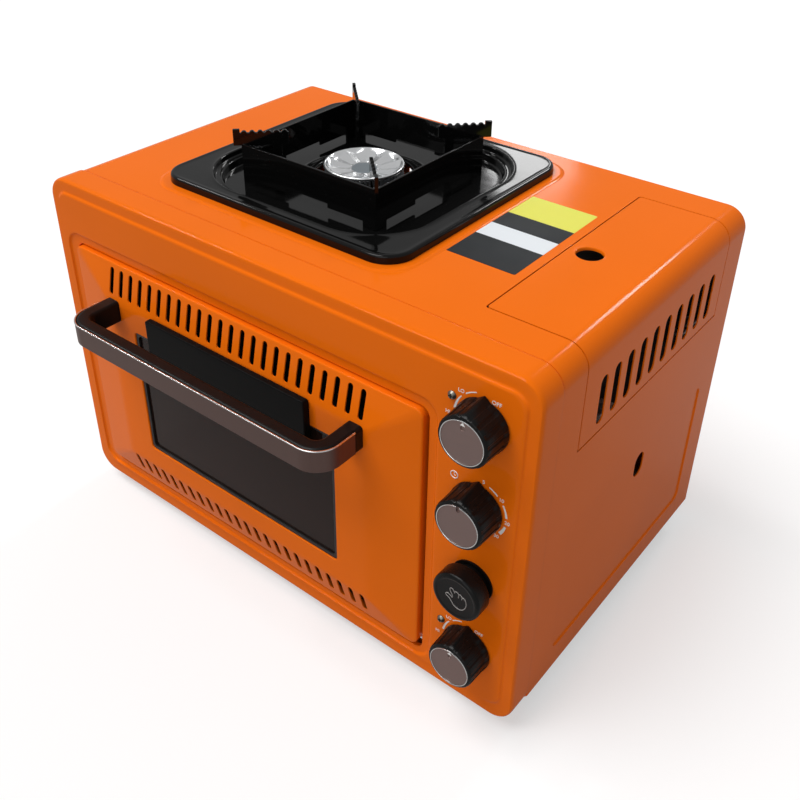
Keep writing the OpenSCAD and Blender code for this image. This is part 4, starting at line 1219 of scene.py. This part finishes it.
class OVEN_OT_drip_tray(bpy.types.Operator):
    """Makes the enamelled drip tray with its stepped basin and the collar round the burner"""

    bl_idname = "camp_oven.drip_tray"
    bl_label = "Drip tray"

    def execute(self, context):
        s = sizes(context.scene.camp_oven.hob)
        x, y = HOB
        foot = TOP_Z + 1.5
        rim = (TRAY_LOW.x, TRAY_LOW.y, TRAY_HIGH.x, TRAY_HIGH.y, 25)
        top = TRAY_HIGH.z
        basin = (x - s.basin_w / 2, y - s.basin_d / 2, x + s.basin_w / 2, y + s.basin_d / 2, 62)
        floor_z, ledge_z = top - 11.5, top - 5

        def round_ring(r, z):
            return (x - r, y - r, x + r, y + r, r, z)

        knots = [
            (grown(rim, 0, foot), 0),
            (grown(rim, -0.4, top - 1), 1.6),
            (grown(rim, -2.6, top), 1.6),
            (grown(rim, -5.5, top - 0.5), 2),
            (grown(basin, 3, top - 0.5), 1.5),
            (grown(basin, 1.2, top), 0.9),
            (grown(basin, 0, top - 0.6), 0.9),
            (grown(basin, -1, ledge_z), 1.6),
            (grown(basin, -5, ledge_z - 0.2), 1.4),
            (grown(basin, -6.2, ledge_z + 0.5), 0.8),
            (grown(basin, -7.4, ledge_z - 0.4), 1.0),
            (grown(basin, -8.6, floor_z), 2.0),
            (grown(basin, -14, floor_z), 0),
            (round_ring(60, floor_z), 3),
            (round_ring(48, floor_z + 6), 2.5),
            (round_ring(44.2, floor_z + 5.6), 1),
            (round_ring(44.2, floor_z + 2.5), 0),
        ]
        tray = mesh_piece("tray_pressing", pressed(knots, facing_up, steps=14), closed=False)
        thickened(tray, 1.3)
        place(tray, "tray", "black_enamel", "drip_tray", angle=40)
        return {"FINISHED"}


BURNER_CENTRE_R = 12.5
BURNER_RIM = (  # from the foot up to the top: beyond the head's radius, above its foot
    (-5, 0), (-1.2, 0.2), (-0.3, 0.9), (-0.3, 2.2), (-1.1, 3), (-2.6, 3.4),
    (-2.6, 8.6), (-0.8, 9.6), (0, 10.5), (0, 12), (-0.4, 12.7), (-1.2, 13),
)
DISH_LOW, DISH_RISE = 7.9, 4.7
CENTRE_UP = 7.5
PLEAT_DEPTH = 0.085  # of the distance from the centre


class OVEN_OT_burner(bpy.types.Operator):
    """Makes the burner head with its fanned petals, matt centre and toothed rim"""

    bl_idname = "camp_oven.burner"
    bl_label = "Burner"

    def execute(self, context):
        s = sizes(context.scene.camp_oven.hob)
        foot = spot("burner_head")[0].z
        r = s.burner_d / 2
        centre_r = BURNER_CENTRE_R
        steps = s.petals * 24
        levels = [(r + out, foot + up, 0) for out, up in BURNER_RIM] + [(r - 1.9, foot + 12.9, 0.1)]
        spread = 16
        for i in range(spread + 1):
            t = 1 - i / spread
            here = centre_r + (r - 2.3 - centre_r) * t
            z = foot + DISH_LOW + DISH_RISE * t ** 1.25
            levels.append((here, z, min(1, 8 * (1 - t)) * min(1, 6 * t + 0.3)))
        middle = foot + CENTRE_UP
        levels += [(centre_r - 0.4, middle, 0), (0.5, middle, 0)]
        rings = []
        for here, z, depth in levels:
            row = []
            for i in range(steps):
                a = 2 * math.pi * i / steps
                pleat = abs(2 * (s.petals * a / (2 * math.pi) % 1) - 1)
                fold = PLEAT_DEPTH * here * depth * pleat
                row.append((HOB[0] + here * math.cos(a), HOB[1] + here * math.sin(a), z - fold))
            rings.append(row)
        head = mesh_piece("burner_cap", loft(rings, facing_up, True, True))
        place(head, "cabinet", "burner_alloy", "burner_head", angle=50)
        tooth_r = r - 2.1
        corners = ((0, -0.8), (1.7, -0.62), (1.7, 0.62), (0, 0.8))
        tooth = [(HOB[0] + tooth_r - 0.6 + u, HOB[1] + v) for u, v in corners]
        teeth = mesh_piece("burner_teeth", prism(tooth, foot + 3.0, foot + 9.0, facing_up))
        pivot = tuple(at(HOB[0], HOB[1], 0))
        repeated(teeth, s.ports, (0, 0, 2 * math.pi / s.ports), "burner_casting", pivot=pivot)
        place(teeth, "cabinet", "burner_casting")
        profile = [(centre_r - 1, middle - 0.3), (centre_r - 1.3, middle + 0.2), (0.5, middle + 0.3)]
        boss = mesh_piece("burner_boss", turned(HOB, profile, facing_up, 64))
        place(boss, "cabinet", "burner_casting", finish="burner_centre")
        return {"FINISHED"}


class OVEN_OT_pan_support(bpy.types.Operator):
    """Finishes the pan support's strips and toothed arms with broken edges"""

    bl_idname = "camp_oven.pan_support"
    bl_label = "Pan support"

    def execute(self, context):
        eased("pan_support", 0.6, segments=3)
        return {"FINISHED"}


STICKER = (355, 109, 418, 235, 1.5)


class OVEN_OT_label(bpy.types.Operator):
    """Makes the plain banded sticker beside the tray"""

    bl_idname = "camp_oven.label"
    bl_label = "Sticker"

    def execute(self, context):
        f = Finish("sticker")
        front, back = at(0, STICKER[1], 0).y, at(0, STICKER[3], 0).y
        along = (f.axis("Y") - front) / (back - front)
        dark, white, yellow = (0.010, 0.012, 0.014), (0.74, 0.77, 0.80), (0.74, 0.72, 0.10)
        stops = [(0, dark), (0.315, white), (0.5, dark), (0.69, yellow)]
        bands = f.node("ShaderNodeValToRGB", {"ramp_interpolation": "CONSTANT", "stops": stops}, {0: along})
        cloud = f.noise(60, 2)
        normal = f.bump(cloud, 0.1, 0.1)
        f.surface(base_color=bands, roughness=0.3 + 0.1 * cloud, normal=normal, specular_ior_level=0.15)
        levels = ((0, -0.05, 0), (0, 0.15, 0.1), (-1, 0.18, 0))
        knots = [(grown(STICKER, by, TOP_Z + up), radius) for by, up, radius in levels]
        sheet = mesh_piece("banded_sticker", pressed(knots, facing_up, True, True))
        made_finishes["sticker"] = f.material
        place(sheet, "cabinet", "cabinet_paint", finish="sticker")
        return {"FINISHED"}


# Frame nodes and stage

SCREW_CROSS_DEPTH = 1.4
# The bay's galvanised pan and cradle take a near-black finish instead of their own: painted shade for the
# dark inside of the cartridge bay.
PAINTED_SHADE_NODES = {"bay_pan": "bay_zinc", "cartridge_cradle": "bay_zinc"}
SUNS = (  # name, direction towards it, strength, size in degrees
    ("key", (-0.30, -0.34, 0.90), 1.9, 35),
    ("fill", (0.25, -0.85, 0.42), 0.5, 40),
    ("front_glint", (-0.70, -0.11, 0.70), 0.3, 6),
    ("back_glint", (-0.025, 0.80, 0.60), 0.45, 8),
    ("tray_glint", (-0.408, 0.713, 0.344), 0.04, 5),
)
GLOSSY_SHARE = 0.2  # how much of the white backdrop a glossy ray sees


class OVEN_OT_frame_finishes(bpy.types.Operator):
    """Gives every CAD node that stays its finish, a near-black painted shade to the bay's pan and cradle, and
    eases the edges that show
    """

    bl_idname = "camp_oven.frame_finishes"
    bl_label = "Frame finishes"

    def execute(self, context):
        screws = eased("front_screws", 0.2, finish="screw_zinc")
        screw_low, screw_high = spot("front_screws")
        u, half = (screw_low.x + screw_high.x) / 2, (screw_high.x - screw_low.x) / 2
        for v in (screw_low.z + half, screw_high.z - half):
            for wide, tall in ((2.0, 0.55), (0.55, 2.0)):
                bar = [(u - wide, v - tall), (u + wide, v - tall), (u + wide, v + tall), (u - wide, v + tall)]
                cut(screws, prism(bar, -screw_low.y - SCREW_CROSS_DEPTH, 9 - screw_low.y))
        for node in ("back_screws", "safety_collar"):
            eased(node, 0.25)
        for name, node in frame["nodes"].items():
            if node.hide_render:
                continue
            node.data.materials.clear()
            node.data.materials.append(finish_of(PAINTED_SHADE_NODES.get(name, SLOT_OF[name])))
        return {"FINISHED"}


class OVEN_OT_stage(bpy.types.Operator):
    """Sets the floor, the world, the lamps and the camera"""

    bl_idname = "camp_oven.stage"
    bl_label = "Stage"

    def execute(self, context):
        scene = context.scene
        scene.view_settings.view_transform = "Standard"
        self.floor()
        self.world(scene)
        self.lamps()
        self.camera(scene)
        return {"FINISHED"}

    def seen_mix(self, shading, lit, seen):
        """A colour that lights the object, and another where a ray sees the backdrop."""
        camera, glossy, through = [
            shading.node("ShaderNodeLightPath", output=f"Is {kind} Ray")
            for kind in ("Camera", "Glossy", "Transmission")
        ]
        return shading.blend(camera.or_more(glossy * GLOSSY_SHARE).or_more(through), lit, seen)

    def floor(self):
        half = 12
        mesh = bpy.data.meshes.new("floor")
        corners = [(-half, -half, 0), (half, -half, 0), (half, half, 0), (-half, half, 0)]
        mesh.from_pydata(corners, [], [(0, 1, 2, 3)])
        floor = linked("floor", mesh)
        f = Finish("floor")
        f.surface(
            base_color=self.seen_mix(f, (0.38, 0.37, 0.36), (0.55, 0.55, 0.55)),
            emission_color=self.seen_mix(f, (0, 0, 0), (0.46, 0.46, 0.46)), emission_strength=1,
            roughness=0.9, specular_ior_level=0,
        )
        mesh.materials.append(f.material)

    def world(self, scene):
        world = bpy.data.worlds.new("studio")
        scene.world = world
        world.use_nodes = True
        sky = Shading(world.node_tree)
        grey = self.seen_mix(sky, (0.33, 0.33, 0.33), (1, 1, 1))
        sky.feed(sky.tree.nodes["Background"].inputs["Color"], grey)

    def lamps(self):
        for name, towards, strength, angle in SUNS:
            lamp = bpy.data.lights.new(name, "SUN")
            lamp.energy = strength
            lamp.angle = math.radians(angle)
            linked(name, lamp).rotation_euler = Vector(towards).to_track_quat("Z", "Y").to_euler()

    def camera(self, scene):
        place = Vector((0.4829, -0.5732, 0.6937))
        forward = Vector((-0.524, 0.6625, -0.5353))
        right = Vector((0.7814, 0.624, 0.0074))
        lens = bpy.data.cameras.new("camera")
        lens.sensor_width = 36
        lens.lens = 44.12
        lens.shift_x, lens.shift_y = 0.0088, -0.0915
        camera = linked("camera", lens)
        up = right.cross(forward).normalized()
        turn = Matrix((right.normalized(), up, -forward.normalized())).transposed().to_4x4()
        camera.matrix_world = Matrix.Translation(place) @ turn
        scene.camera = camera


PIECE_OPERATORS = (
    OVEN_OT_front_bezel, OVEN_OT_cabinet_shell, OVEN_OT_cartridge_lid, OVEN_OT_door_panel,
    OVEN_OT_door_parts, OVEN_OT_handle, OVEN_OT_knobs, OVEN_OT_safety_button, OVEN_OT_dial_marks,
    OVEN_OT_drip_tray, OVEN_OT_burner, OVEN_OT_pan_support, OVEN_OT_label, OVEN_OT_frame_finishes,
    OVEN_OT_stage,
)
SETTINGS = (CabinetSizes, DoorSizes, HandleSizes, ControlSizes, HobSizes, FinishColours, CampOvenSettings)


class OVEN_PT_panel(bpy.types.Panel):
    """Lists the camp oven's pieces and settings"""

    bl_label = "Camp oven"
    bl_space_type = "VIEW_3D"
    bl_region_type = "UI"
    bl_category = "Camp oven"

    def draw(self, context):
        settings = context.scene.camp_oven
        for name in ("cabinet", "door", "handle", "control", "hob", "colour"):
            group = getattr(settings, name)
            box = self.layout.box()
            box.label(text=group.bl_rna.description)
            for key in group.bl_rna.properties.keys():
                if key not in ("rna_type", "name"):
                    box.prop(group, key)
        for operator in PIECE_OPERATORS:
            self.layout.operator(operator.bl_idname)


def register():
    for item in SETTINGS + PIECE_OPERATORS + (OVEN_PT_panel,):
        bpy.utils.register_class(item)
    bpy.types.Scene.camp_oven = PointerProperty(type=CampOvenSettings)


def unregister():
    del bpy.types.Scene.camp_oven
    for item in reversed(SETTINGS + PIECE_OPERATORS + (OVEN_PT_panel,)):
        bpy.utils.unregister_class(item)


def main():
    register()
    for operator in PIECE_OPERATORS:
        getattr(bpy.ops.camp_oven, operator.bl_idname.split(".")[1])()


if __name__ == "__main__":
    main()
